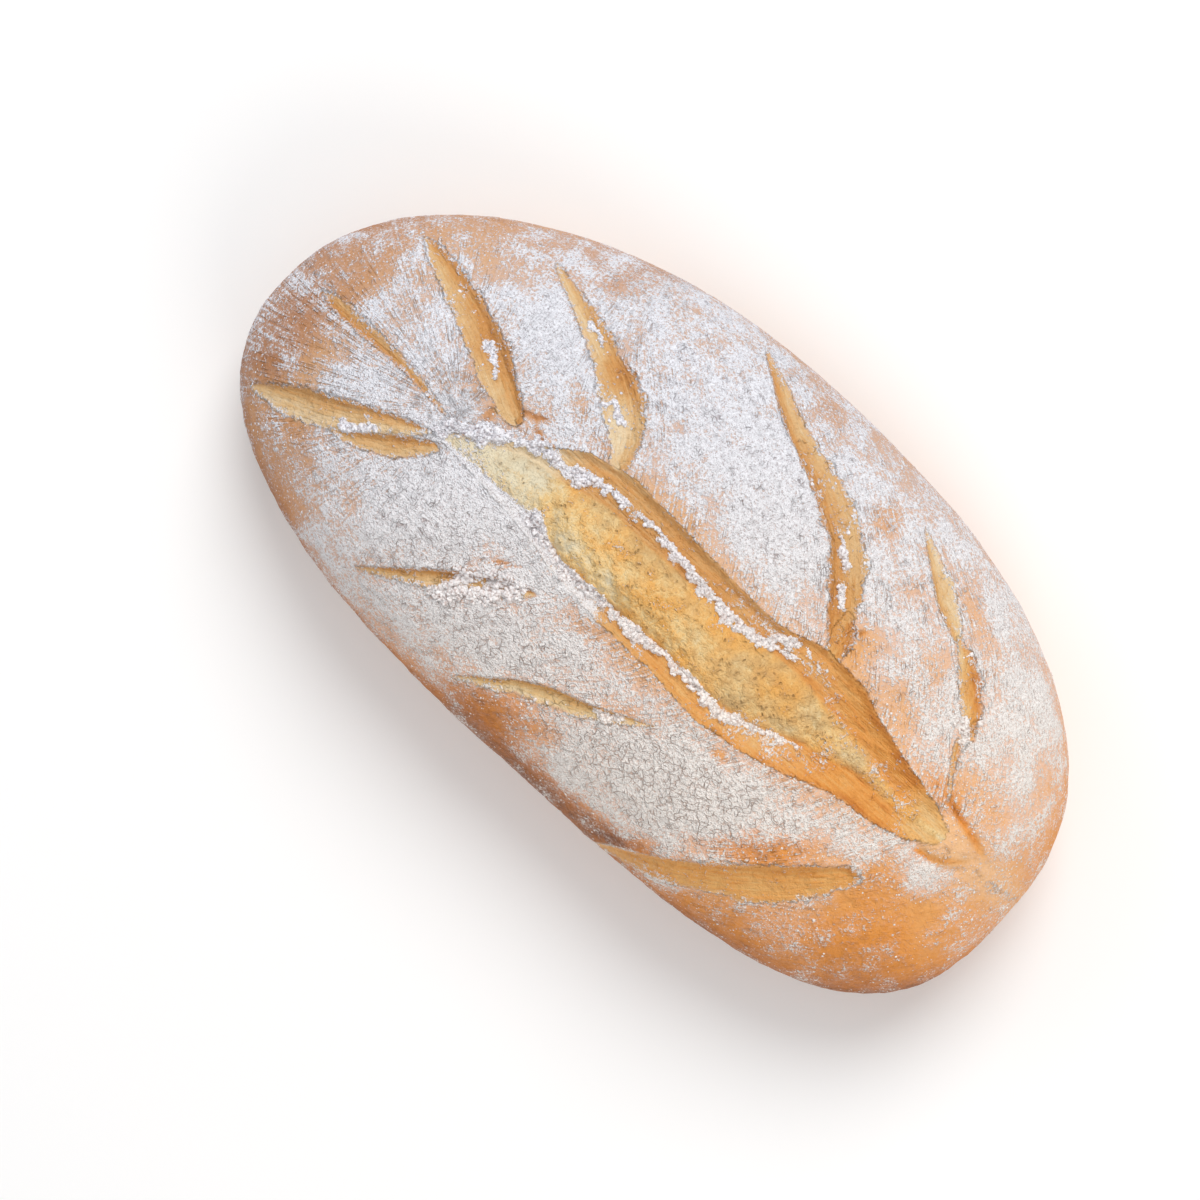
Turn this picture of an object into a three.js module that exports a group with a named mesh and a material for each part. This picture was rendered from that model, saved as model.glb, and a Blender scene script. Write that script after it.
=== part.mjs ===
// A floured white loaf, about 300 mm long, scored with one long slash down its back and a fan of
// short cuts that run from the rim towards it.
//
// Millimetres, +Z up. The origin is at the centre of the loaf's footprint, on the flat underside,
// and +X runs along the loaf towards its blunt end. The loaf is one closed solid: a dome over a
// flat foot, whose skin is moved in and out along its normal to make the slash, the cuts and the
// swell of the crust between them.

import * as THREE from 'three';
import { mergeVertices } from 'three/addons/utils/BufferGeometryUtils.js';

// ---- driving dimensions ---------------------------------------------------------------------

// Outline seen from above, at the widest level.
const LENGTH = 300;
const WIDTH = 155;
const WIDEST_LEVEL = 30;
const ROUND_END_POWER = 2.2;
const BLUNT_END_POWER = 2.7;
const ROUND_END_BEND = 13.8;
const BLUNT_END_BEND = 11.3;

// Profile of the dome above the widest level, and of the tuck below it.
const CRUST_HEIGHT = 83;
const PROFILE_POWER_ACROSS = 2.3;
const PROFILE_POWER_ALONG = 2.9;
const SHOULDER_POWER = 2.1;
const FOOT_SHARE = 0.8;

// Long slow waves of the crust: height, wavelengths along X and Y, and phase in turns.
const SWELLS = [
  { height: 0.9, alongX: 118, alongY: 150, phase: 0.15 },
  { height: 0.6, alongX: 67, alongY: -83, phase: 0.6 },
  { height: 0.35, alongX: -39, alongY: 44, phase: 0.35 },
];

// A short cut: its path from the rim inwards, its greatest width, where along the path it is
// widest, and which side is the sharp one (+1 is to the left when walking inwards).
const CUTS = [
  { path: [[-134, -44], [-111, -31], [-94, -21], [-79, -12]], width: 9, widest: 0.15, sharp: 1 },
  { path: [[-98, -32], [-85, -24.5], [-74, -15]], width: 5.5, widest: 0.5, sharp: 1 },
  { path: [[-133, -5], [-118, -1.8], [-98, -3.8], [-77, -7.5]], width: 4.5, widest: 0.3, sharp: -1 },
  { path: [[-121, 29.5], [-99, 25], [-81, 18.5], [-66, 8]], width: 10.5, widest: 0.68, sharp: 1 },
  { path: [[-88, 50.5], [-66, 42], [-49, 35.5], [-30, 19]], width: 10.5, widest: 0.62, sharp: 1 },
  { path: [[-23, 72], [4, 60], [30, 48], [53, 26]], width: 9, widest: 0.72, sharp: -1 },
  { path: [[49, 64.5], [60, 58.5], [70, 51.5], [79, 44]], width: 5, widest: 0.5, sharp: -1 },
  { path: [[82, 42], [92, 38], [99, 31]], width: 7.5, widest: 0.5, sharp: 1 },
  { path: [[99, 33], [100, 22], [108, 8.5]], width: 2.8, widest: 0.4, sharp: 1 },
  { path: [[-71, -59.5], [-50, -44.5], [-35, -34.5], [-24, -27.5]], width: 7.5, widest: 0.6, sharp: 1 },
  { path: [[-25, -64], [-6.5, -51.5], [11, -42.8], [28, -32.5]], width: 4.8, widest: 0.45, sharp: 1 },
  { path: [[39, -77.5], [65, -60.5], [93, -41.5], [109, -16]], width: 10.5, widest: 0.6, sharp: 1 },
];
const CUT_DEPTH_SHARE = 0.36;
const CUT_TAPER_POWER = 0.75;
const CUT_LIP_HEIGHT = 0.7;
const CUT_LIP_REACH = 2.6;
const CUT_VALLEY_DEPTH = 1.1;
const CUT_VALLEY_REACH = 9;

// The long slash, station by station along X. The first four columns after x are places in Y: the
// two outer edges, where the floured crust stops, and between them the two edges of the crumb that
// burst through. step is the drop from the crust to the torn band, crumb the height of the crumb's
// pillow over its own edges, and sink how far those edges lie below the crust.
const SLASH = [
  { x: -79, outer: [-12, -11], inner: [-11.8, -11.2], step: 0, crumb: 0, sink: 0 },
  { x: -66, outer: [-13, -2], inner: [-12, -4], step: 0.4, crumb: 0.6, sink: 1 },
  { x: -53, outer: [-14.5, 6.5], inner: [-11.5, 2.2], step: 1, crumb: 2, sink: 1.6 },
  { x: -40, outer: [-16, 15.5], inner: [-11, 3.5], step: 1.4, crumb: 3, sink: 1.8 },
  { x: -25, outer: [-19.5, 18], inner: [-15.6, 6.8], step: 1.6, crumb: 4.6, sink: 2 },
  { x: -5, outer: [-21, 17.2], inner: [-14.6, 6.8], step: 1.8, crumb: 5, sink: 2 },
  { x: 15, outer: [-21, 15.2], inner: [-14.4, 5.9], step: 1.8, crumb: 4.4, sink: 2 },
  { x: 35, outer: [-22.5, 14.7], inner: [-15.2, 7.4], step: 2, crumb: 3.4, sink: 2.4 },
  { x: 50, outer: [-21.2, 19], inner: [-12.6, 8], step: 2.6, crumb: 2.6, sink: 3.2 },
  { x: 65, outer: [-17.8, 17.3], inner: [-7.4, 7], step: 3, crumb: 2, sink: 4.4 },
  { x: 80, outer: [-13, 12.4], inner: [-4.4, 5.6], step: 3, crumb: 1.6, sink: 5 },
  { x: 95, outer: [-10.8, 8.4], inner: [-3.8, 1.8], step: 2.4, crumb: 1, sink: 4.2 },
  { x: 106, outer: [-8, 6], inner: [-3, 0], step: 1, crumb: 0.4, sink: 1.8 },
  { x: 114, outer: [-3, 2], inner: [-2, 0.5], step: 0, crumb: 0, sink: 0 },
];
const SLASH_LIP_HEIGHT = 1;
const SLASH_LIP_REACH = 3;
const SLASH_WALL_WIDTH = 1.2;
const CRUMB_ROUNDNESS = 0.65;

// The small knot of dough where the slash closes, by the blunt end.
const KNOT = { x: 117, y: -0.5, length: 17, width: 13, height: 1.6, groove: 1.2 };

// Fineness of the faceted skin: the longest edge beside a cut, on the open crust and on the foot.
const EDGE_AT_CUTS = 3.4;
const EDGE_ON_CRUST = 10;
const EDGE_ON_FOOT = 24;
const EDGE_GROWTH = 1.3;
const START_DETAIL = 5;
const CURVE_STEPS = 28;

const CRUST_COLOUR = 0xd8c3b4;
const CRUST_ROUGHNESS = 0.85;

// ---- small helpers --------------------------------------------------------------------------

const smooth = (from, to, value) => THREE.MathUtils.smoothstep(value, from, to);

// ---- the smooth form, without slash or cuts --------------------------------------------------

/** Share of the way to the widest outline, in the direction that has this cosine and sine. */
function outlineReach(cosine, sine) {
  const blunt = smooth(-0.3, 0.3, cosine);
  const power = THREE.MathUtils.lerp(ROUND_END_POWER, BLUNT_END_POWER, blunt);
  return (Math.abs(cosine) ** power + Math.abs(sine) ** power) ** (-1 / power);
}

/** Point of the smooth loaf that a direction from its middle meets; +Z meets the top. */
function smoothPoint(direction) {
  const polar = Math.acos(THREE.MathUtils.clamp(direction.z, -1, 1));
  const heading = Math.atan2(direction.y, direction.x);
  const cosine = Math.cos(heading);
  const sine = Math.sin(heading);
  let share;
  let z;
  if (polar <= Math.PI / 2) {
    const power = THREE.MathUtils.lerp(PROFILE_POWER_ACROSS, PROFILE_POWER_ALONG, cosine ** 2);
    share = Math.sin(polar) ** (2 / power);
    z = WIDEST_LEVEL + (CRUST_HEIGHT - WIDEST_LEVEL) * Math.cos(polar) ** (2 / SHOULDER_POWER);
  } else {
    const down = 2 * (polar - Math.PI / 2);
    const tuck = Math.min(down, Math.PI / 2);
    const inward = Math.max(down - Math.PI / 2, 0) / (Math.PI / 2);
    share = (FOOT_SHARE + (1 - FOOT_SHARE) * Math.cos(tuck)) * (1 - inward);
    z = WIDEST_LEVEL * (1 - Math.sin(tuck));
  }
  const reach = share * outlineReach(cosine, sine);
  const acrossX = reach * cosine;
  const bend = acrossX > 0 ? BLUNT_END_BEND : ROUND_END_BEND;
  const x = (LENGTH / 2) * acrossX;
  const y = (WIDTH / 2) * reach * sine - bend * acrossX ** 2;
  return new THREE.Vector3(x, y, Math.max(z, 0));
}

/** Outward normal of the smooth loaf, from two neighbouring directions. */
function smoothNormal(direction) {
  const step = 1e-3;
  const helper = Math.abs(direction.z) < 0.9 ? new THREE.Vector3(0, 0, 1) : new THREE.Vector3(1, 0, 0);
  const east = new THREE.Vector3().crossVectors(helper, direction).normalize();
  const north = new THREE.Vector3().crossVectors(direction, east);
  const slope = (tangent) => {
    const ahead = smoothPoint(direction.clone().addScaledVector(tangent, step).normalize());
    const behind = smoothPoint(direction.clone().addScaledVector(tangent, -step).normalize());
    return ahead.sub(behind);
  };
  return slope(east).cross(slope(north)).normalize();
}

// ---- relief: slash, cuts, knot and swells ----------------------------------------------------

/** The cuts with their paths as short straight runs, so that the nearest point is quick to find. */
const sampledCuts = CUTS.map((cut) => {
  const curve = new THREE.SplineCurve(cut.path.map(([x, y]) => new THREE.Vector2(x, y)));
  const points = curve.getPoints(CURVE_STEPS);
  const runs = points.slice(1).map((end, i) => {
    const start = points[i];
    const across = end.clone().sub(start);
    return { x: start.x, y: start.y, dx: across.x, dy: across.y, lengthSq: across.lengthSq() };
  });
  return { ...cut, runs };
});

/** Half the width of a cut at a share of its path: a long lens with its belly at `widest`. */
function cutHalfWidth(cut, share) {
  const towardsBelly = share < cut.widest ? share / cut.widest : (1 - share) / (1 - cut.widest);
  return (cut.width / 2) * Math.max(towardsBelly, 0) ** CUT_TAPER_POWER;
}

/** Where a place lies beside a cut: share of the path, distance, and side (+1 is left). */
function besideCut(cut, x, y) {
  let best = { distance: Infinity };
  cut.runs.forEach((run, i) => {
    const offX = x - run.x;
    const offY = y - run.y;
    const along = THREE.MathUtils.clamp((offX * run.dx + offY * run.dy) / run.lengthSq, 0, 1);
    const distance = Math.hypot(offX - along * run.dx, offY - along * run.dy);
    if (distance < best.distance) {
      const side = run.dx * offY < run.dy * offX ? -1 : 1;
      best = { share: (i + along) / cut.runs.length, distance, side };
    }
  });
  return best;
}

/** Height that a cut adds: a trough with one steep wall, a lip over that wall, a soft valley. */
function cutRelief(cut, x, y) {
  const { share, distance, side } = besideCut(cut, x, y);
  const halfWidth = cutHalfWidth(cut, share);
  const fullness = halfWidth / (cut.width / 2);
  const valley = -CUT_VALLEY_DEPTH * fullness * Math.exp(-((distance / CUT_VALLEY_REACH) ** 2));
  const towardsSharp = distance * side * cut.sharp;
  if (distance < halfWidth) {
    const fromSharp = (halfWidth - towardsSharp) / (2 * halfWidth);
    const trough = smooth(0, 0.28, fromSharp) * (1 - fromSharp) ** 0.8;
    return valley - 2 * CUT_DEPTH_SHARE * halfWidth * trough;
  }
  const overLip = (distance - halfWidth) / CUT_LIP_REACH;
  const lip = towardsSharp > 0 ? CUT_LIP_HEIGHT * fullness * Math.exp(-(overLip ** 2)) : 0;
  return valley + lip * smooth(0, 0.4, overLip);
}

/** The slash's measures at a place along X, or null past its ends. */
function slashAt(x) {
  const next = SLASH.findIndex((station) => station.x > x);
  if (next < 1) return null;
  const before = SLASH[next - 1];
  const after = SLASH[next];
  const share = (x - before.x) / (after.x - before.x);
  const mix = (a, b) => THREE.MathUtils.lerp(a, b, share);
  return {
    outer: [mix(before.outer[0], after.outer[0]), mix(before.outer[1], after.outer[1])],
    inner: [mix(before.inner[0], after.inner[0]), mix(before.inner[1], after.inner[1])],
    step: mix(before.step, after.step),
    crumb: mix(before.crumb, after.crumb),
    sink: mix(before.sink, after.sink),
  };
}

/** Height that the slash adds: lips, the drop to the torn bands, and the pillow of crumb. */
function slashRelief(x, y) {
  const at = slashAt(x);
  if (!at) return 0;
  const [outerLow, outerHigh] = at.outer;
  const [innerLow, innerHigh] = at.inner;
  if (y <= outerLow || y >= outerHigh) {
    const away = Math.max(outerLow - y, y - outerHigh) / SLASH_LIP_REACH;
    const lipHeight = SLASH_LIP_HEIGHT * Math.min(at.step / 2, 1);
    return lipHeight * Math.exp(-(away ** 2));
  }
  if (y > innerLow && y < innerHigh) {
    const middle = (innerLow + innerHigh) / 2;
    const fromMiddle = Math.abs(y - middle) / ((innerHigh - innerLow) / 2);
    return at.crumb * (1 - fromMiddle ** 2) ** CRUMB_ROUNDNESS - at.sink;
  }
  const high = y >= innerHigh;
  const bandWidth = high ? outerHigh - innerHigh : innerLow - outerLow;
  const inwards = (high ? outerHigh - y : y - outerLow) / bandWidth;
  const wall = smooth(0, Math.min(SLASH_WALL_WIDTH / bandWidth, 0.6), inwards);
  const band = -at.step * wall;
  const lip = SLASH_LIP_HEIGHT * Math.min(at.step / 2, 1) * (1 - wall);
  const toEdge = THREE.MathUtils.lerp(band, -at.sink, smooth(0.55, 1, inwards));
  return toEdge + lip;
}

/** Height of the knot: a low round pad inside a shallow groove. */
function knotRelief(x, y) {
  const out = Math.hypot((x - KNOT.x) / (KNOT.length / 2), (y - KNOT.y) / (KNOT.width / 2));
  const pad = KNOT.height * Math.max(1 - out ** 2, 0);
  const groove = KNOT.groove * Math.exp(-(((out - 1.08) / 0.22) ** 2));
  return pad - groove;
}

/** Height of the long slow waves of the crust. */
function swellRelief(x, y) {
  let height = 0;
  for (const swell of SWELLS) {
    const turns = x / swell.alongX + y / swell.alongY + swell.phase;
    height += swell.height * Math.sin(2 * Math.PI * turns);
  }
  return height;
}

/** All the relief over a point of the smooth loaf. It fades out down the sides. */
function relief({ x, y, z }) {
  const onTop = smooth(WIDEST_LEVEL - 4, WIDEST_LEVEL + 12, z);
  if (onTop === 0) return 0;
  const onBack = smooth(WIDEST_LEVEL, CRUST_HEIGHT - 15, z);
  let height = swellRelief(x, y) * onBack + slashRelief(x, y) + knotRelief(x, y);
  for (const cut of sampledCuts) height += cutRelief(cut, x, y);
  return height * onTop;
}

/** Point of the finished crust in a direction. */
function crustPoint(direction) {
  const point = smoothPoint(direction);
  const height = relief(point);
  return height === 0 ? point : point.addScaledVector(smoothNormal(direction), height);
}

// ---- the faceted skin ------------------------------------------------------------------------

/** Distance from a place to the nearest edge of the slash, the knot or a cut; 0 in a cut. */
function distanceToEdges(x, y) {
  let nearest = Math.abs(Math.hypot(x - KNOT.x, y - KNOT.y) - KNOT.length / 2);
  const at = slashAt(x);
  if (at) {
    for (const edge of [...at.outer, ...at.inner]) nearest = Math.min(nearest, Math.abs(y - edge));
  }
  for (const cut of sampledCuts) {
    const { share, distance } = besideCut(cut, x, y);
    nearest = Math.min(nearest, distance - cutHalfWidth(cut, share));
  }
  return Math.max(nearest, 0);
}

/** Longest edge allowed round a point of the skin. */
function longestEdge(point) {
  if (point.z < 0.5) return EDGE_ON_FOOT;
  const grown = EDGE_AT_CUTS + EDGE_GROWTH * distanceToEdges(point.x, point.y);
  return Math.min(grown, EDGE_ON_CRUST);
}

/** Vertex in the middle of an edge that is longer than allowed there, or -1 if it isn't. */
function middleOf(skin, a, b) {
  const key = a < b ? `${a} ${b}` : `${b} ${a}`;
  if (!skin.middles.has(key)) {
    const direction = skin.directions[a].clone().add(skin.directions[b]).normalize();
    const reach = skin.points[a].distanceTo(skin.points[b]);
    const tooLong = reach > longestEdge(smoothPoint(direction));
    if (tooLong) {
      skin.directions.push(direction);
      skin.points.push(crustPoint(direction));
    }
    skin.middles.set(key, tooLong ? skin.directions.length - 1 : -1);
  }
  return skin.middles.get(key);
}

/** Splits every face of the skin that has too long an edge; tells if there was one. */
function refine(skin) {
  const faces = [];
  for (const face of skin.faces) {
    const marks = [0, 1, 2].map((k) => middleOf(skin, face[k], face[(k + 1) % 3]));
    const count = marks.filter((mark) => mark >= 0).length;
    if (count === 0) {
      faces.push(face);
    } else if (count === 3) {
      const [a, b, c] = face;
      const [ab, bc, ca] = marks;
      faces.push([a, ab, ca], [ab, b, bc], [ca, bc, c], [ab, bc, ca]);
    } else if (count === 1) {
      const k = marks.findIndex((mark) => mark >= 0);
      const [a, b, c] = [face[k], face[(k + 1) % 3], face[(k + 2) % 3]];
      faces.push([a, marks[k], c], [marks[k], b, c]);
    } else {
      const k = marks.findIndex((mark) => mark < 0);
      const [a, b, c] = [face[k], face[(k + 1) % 3], face[(k + 2) % 3]];
      const bc = marks[(k + 1) % 3];
      const ca = marks[(k + 2) % 3];
      faces.push([ca, bc, c]);
      const acrossA = skin.points[a].distanceTo(skin.points[bc]);
      const acrossB = skin.points[b].distanceTo(skin.points[ca]);
      if (acrossA < acrossB) faces.push([a, b, bc], [a, bc, ca]);
      else faces.push([a, b, ca], [b, bc, ca]);
    }
  }
  const grew = faces.length > skin.faces.length;
  skin.faces = faces;
  return grew;
}

/** The loaf's skin: a ball of directions, split until it follows the crust everywhere. */
function loafGeometry() {
  const ball = new THREE.IcosahedronGeometry(1, START_DETAIL);
  ball.deleteAttribute('normal');
  ball.deleteAttribute('uv');
  const merged = mergeVertices(ball, 1e-4);
  const place = merged.getAttribute('position');
  const skin = { directions: [], points: [], faces: [], middles: new Map() };
  for (let i = 0; i < place.count; i += 1) {
    const direction = new THREE.Vector3().fromBufferAttribute(place, i).normalize();
    skin.directions.push(direction);
    skin.points.push(crustPoint(direction));
  }
  const corners = merged.getIndex().array;
  for (let i = 0; i < corners.length; i += 3) {
    skin.faces.push([corners[i], corners[i + 1], corners[i + 2]]);
  }
  while (refine(skin));
  const geometry = new THREE.BufferGeometry().setFromPoints(skin.points);
  geometry.setIndex(skin.faces.flat());
  return standOnOrigin(geometry);
}

/** Moves a geometry so that the middle of its footprint is at the origin, on z = 0. */
function standOnOrigin(geometry) {
  geometry.computeBoundingBox();
  const { min, max } = geometry.boundingBox;
  geometry.translate(-(min.x + max.x) / 2, -(min.y + max.y) / 2, -min.z);
  geometry.computeVertexNormals();
  return geometry;
}

// ---- the object ------------------------------------------------------------------------------

const crust = new THREE.MeshStandardMaterial({
  color: CRUST_COLOUR,
  roughness: CRUST_ROUGHNESS,
  metalness: 0,
});

const loaf = new THREE.Mesh(loafGeometry(), crust);
loaf.name = 'loaf';

const object = new THREE.Group();
object.add(loaf);

export default object;
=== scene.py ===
"""The looks of a floured white loaf: its baked crust, torn golden cuts, open crumb and flour."""

import math

import bmesh
import bpy
import numpy as np
from mathutils import Matrix, Vector, noise


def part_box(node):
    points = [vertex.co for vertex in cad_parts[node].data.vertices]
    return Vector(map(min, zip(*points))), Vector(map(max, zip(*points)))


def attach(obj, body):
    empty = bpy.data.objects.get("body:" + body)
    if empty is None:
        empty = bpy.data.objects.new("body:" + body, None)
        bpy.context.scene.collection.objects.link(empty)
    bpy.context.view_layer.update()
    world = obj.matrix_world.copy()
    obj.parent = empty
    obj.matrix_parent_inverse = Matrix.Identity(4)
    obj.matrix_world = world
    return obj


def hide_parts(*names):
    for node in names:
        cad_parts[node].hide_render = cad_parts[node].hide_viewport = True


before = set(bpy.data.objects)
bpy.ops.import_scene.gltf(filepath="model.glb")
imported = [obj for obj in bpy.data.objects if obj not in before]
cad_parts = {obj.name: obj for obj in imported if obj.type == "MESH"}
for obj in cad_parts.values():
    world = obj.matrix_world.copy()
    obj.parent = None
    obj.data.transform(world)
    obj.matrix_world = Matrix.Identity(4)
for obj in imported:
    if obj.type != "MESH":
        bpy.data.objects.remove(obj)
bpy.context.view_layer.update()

bl_info = {
    "name": "Floured White Loaf",
    "version": (1, 0, 0),
    "blender": (4, 5, 0),
    "location": "View3D > Sidebar > Loaf",
    "description": "Builds a floured, scored white loaf and a plain studio round it",
    "category": "Object",
}

# The loaf is worked out in millimetres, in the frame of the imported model, and turned to metres
# as its mesh is filled.
MM = 0.001
NODE = "loaf"
BODY = "root"
CAD_LOW, CAD_HIGH = (np.array(corner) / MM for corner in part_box(NODE))
CAD_SIZE = CAD_HIGH - CAD_LOW

# ---- sizes -----------------------------------------------------------------------------------

LENGTH = CAD_SIZE[0]
WIDTH = CAD_SIZE[1]
WIDEST_LEVEL = 30.0
ROUND_END_POWER = 2.2
BLUNT_END_POWER = 2.7
ROUND_END_BEND = 13.8
BLUNT_END_BEND = 11.3
CRUST_HEIGHT = 83.0
PROFILE_POWER_ACROSS = 2.3
PROFILE_POWER_ALONG = 2.9
SHOULDER_POWER = 2.1
FOOT_SHARE = 0.8

# Long slow waves of the crust: height, wavelengths along X and Y, and phase in turns.
SWELLS = [(0.9, 118, 150, 0.15), (0.6, 67, -83, 0.6), (0.35, -39, 44, 0.35)]

# The short cuts, from the round end to the blunt one. Shape is the greatest width, the depth as a
# share of that, where along the path it is widest, how wide its inner tip stays, and which side is
# the sharp one: 1 is to the left when walking from the rim inwards. Glow is how deep the torn dough
# is coloured at the soft and at the sharp edge. Flour is where some has fallen in, as (from, to,
# amount) along the path.
CUTS = [
    {
        "path": [(-134, -42), (-111, -31), (-94, -21), (-79, -12)],
        "shape": (11, 0.16, 0.27, 0, 1),
        "glow": (0.2, 0.6),
        "flour": [(0.45, 0.7, 0.3)],
    },
    {
        "path": [(-104, -33), (-94, -28.5), (-84, -22), (-76, -15)],
        "shape": (7.5, 0.2, 0.6, 0.25, 1),
        "glow": (0.35, 0.65),
    },
    {
        "path": [(-136, -4.5), (-118, -3.8), (-98, -3.4), (-77, -5.8)],
        "shape": (5.2, 0.3, 0.2, 0, -1),
        "glow": (0.45, 0.7),
        "flour": [(0.85, 1, 0.4)],
    },
    {
        "path": [(-122, 28), (-110, 26), (-90, 20), (-65, 8)],
        "shape": (11.5, 0.2, 0.78, 0.45, 1),
        "glow": (0.3, 0.68),
        "flour": [(0.4, 0.85, 0.55)],
    },
    {
        "path": [(-88, 50.5), (-62, 41.5), (-46, 34.5), (-37, 27), (-32, 19.5)],
        "shape": (12, 0.15, 0.58, 0.35, 1),
        "glow": (0.22, 0.5),
        "flour": [(0.3, 0.7, 0.5)],
    },
    {
        "path": [(-23, 72), (4, 60), (33, 46.5), (51, 24)],
        "shape": (11, 0.24, 0.76, 0.5, -1),
        "glow": (0.35, 0.68),
        "flour": [(0.35, 0.8, 0.6)],
    },
    {
        "path": [(49, 64.5), (60, 58), (68, 52.8), (77, 46.5)],
        "shape": (6.2, 0.2, 0.6, 0.3, -1),
        "glow": (0.15, 0.5),
        "flour": [(0.75, 1, 0.5)],
    },
    {
        "path": [(77, 47), (86, 41.5), (94, 35.5), (100, 27)],
        "shape": (7, 0.1, 0.55, 0.3, 1),
        "glow": (0.25, 0.65),
        "flour": [(0.15, 1, 0.5)],
    },
    {
        "path": [(99, 33), (100, 22), (108, 8.5)],
        "shape": (2.8, 0.3, 0.4, 0, 1),
        "glow": (0.5, 0.65),
        "flour": [(0, 0.5, 0.6)],
    },
    {
        "path": [(-71, -59.5), (-50, -44.5), (-35, -34.5), (-24, -27.5)],
        "shape": (8, 0.28, 0.6, 0, 1),
        "glow": (0.3, 0.7),
        "flour": [(0.42, 0.96, 1.2)],
    },
    {
        "path": [(-27, -65), (-7, -51.5), (11, -42.8), (28, -32.5)],
        "shape": (6.2, 0.32, 0.45, 0, 1),
        "glow": (0.2, 0.6),
        "flour": [(0.3, 0.6, 0.3)],
    },
    {
        "path": [(39, -77.5), (66, -60), (87, -44.5), (101, -29)],
        "shape": (13.5, 0.15, 0.62, 0.35, 1),
        "glow": (0.6, 0.7),
    },
    {
        "path": [(48, 32), (51.5, 26), (53.5, 18)],
        "shape": (6.5, 0.14, 0.5, 0.8, 1),
        "glow": (0.6, 0.7),
    },
]
CUT_TAPER_POWER = 0.6
CUT_LIP_HEIGHT = 0.7
CUT_LIP_REACH = 2.6
CUT_VALLEY_DEPTH = 1.1
CUT_VALLEY_REACH = 9.0
CUT_OVERHANG = 0.5
PATH_STEPS = 18

# The long slash, station by station along X: the two outer edges, where the floured crust stops,
# the two edges of the crumb that burst through, the drop to the torn band, the height of the
# crumb's pillow, and how far its edges lie below the crust.
SLASH = [
    (-79, -12, -11, -11.8, -11.2, 0, 0, 0),
    (-66, -13, -2, -12, -4, 0.4, 0.6, 1),
    (-53, -14.5, 6.5, -11.5, 2.2, 1, 2, 1.6),
    (-40, -16, 15.5, -11, 3.5, 1.4, 3, 1.8),
    (-25, -19.5, 18, -15.6, 6.8, 1.4, 4.6, 2),
    (-5, -21, 17.2, -14.6, 6.8, 1.5, 5, 2),
    (15, -21, 15.2, -14.4, 5.9, 1.5, 4.4, 2),
    (35, -22.5, 14.7, -15.2, 7.4, 1.6, 3.4, 2.4),
    (50, -21.2, 19, -12.6, 8, 1.4, 2.4, 2.6),
    (65, -17.8, 17.8, -7.4, 6, 1.2, 1.6, 3),
    (80, -13, 12.6, -4.4, 4, 1.1, 1.2, 3.2),
    (95, -10.8, 8.8, -3.4, 1.2, 1.0, 0.8, 2.6),
    (106, -8, 6, -3, 0, 0.5, 0.4, 1.4),
    (114, -3, 2, -2, 0.5, 0, 0, 0),
]
SLASH_LIP_HEIGHT = 1.0
SLASH_LIP_REACH = 3.0
SLASH_WALL_WIDTH = 2.8
SLASH_OVERHANG = 0.35
CRUMB_ROUNDNESS = 0.65
KNOT = {"x": 116, "y": -1, "length": 19, "width": 14, "height": 0.9, "groove": 0.7}

# Fineness of the skin, in millimetres: the longest edge beside a cut, how it grows away from it,
# and the longest on the top, the sides and the foot.
EDGE_AT_CUTS = 0.84
EDGE_GROWTH = 0.195
EDGE_ON_TOP = 2.4
EDGE_ON_SIDE = 3.8
EDGE_ON_FOOT = 7.0
# Inside the slash every place counts as this near to a cut.
NEAR_IN_SLASH = 1.5
# The foot ends, the side ends and the top begins at these levels.
FOOT_LEVEL = 0.3
SIDE_LEVEL = WIDEST_LEVEL - 8
TOP_LEVEL = WIDEST_LEVEL + 12
PLAN_MARGIN = 3
MOST_PASSES = 6

# ---- helpers ---------------------------------------------------------------------------------


def smooth(start, end, value):
    """0 before start, 1 after end, and a smooth step between."""
    share = np.clip((value - start) / (end - start), 0, 1)
    return share * share * (3 - 2 * share)


def mix(low, high, share):
    """Between low and high."""
    return low + (high - low) * share


def linear(colour):
    """Scene-linear colour, with alpha, from a display colour of 0 to 255."""
    parts = [part / 255 for part in colour]
    return (*[p / 12.92 if p <= 0.04045 else ((p + 0.055) / 1.055) ** 2.4 for p in parts], 1.0)


def lumps(places, size, seed, octaves=3):
    """Soft noise, from about -1 to 1, with features of a given size in millimetres."""
    offset = Vector((seed * 17.3, seed * 5.1, seed * 9.7))
    return np.array(
        [noise.fractal(Vector(place) / size + offset, 0.9, 2.1, octaves) for place in places]
    )


# ---- the smooth form -------------------------------------------------------------------------


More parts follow.
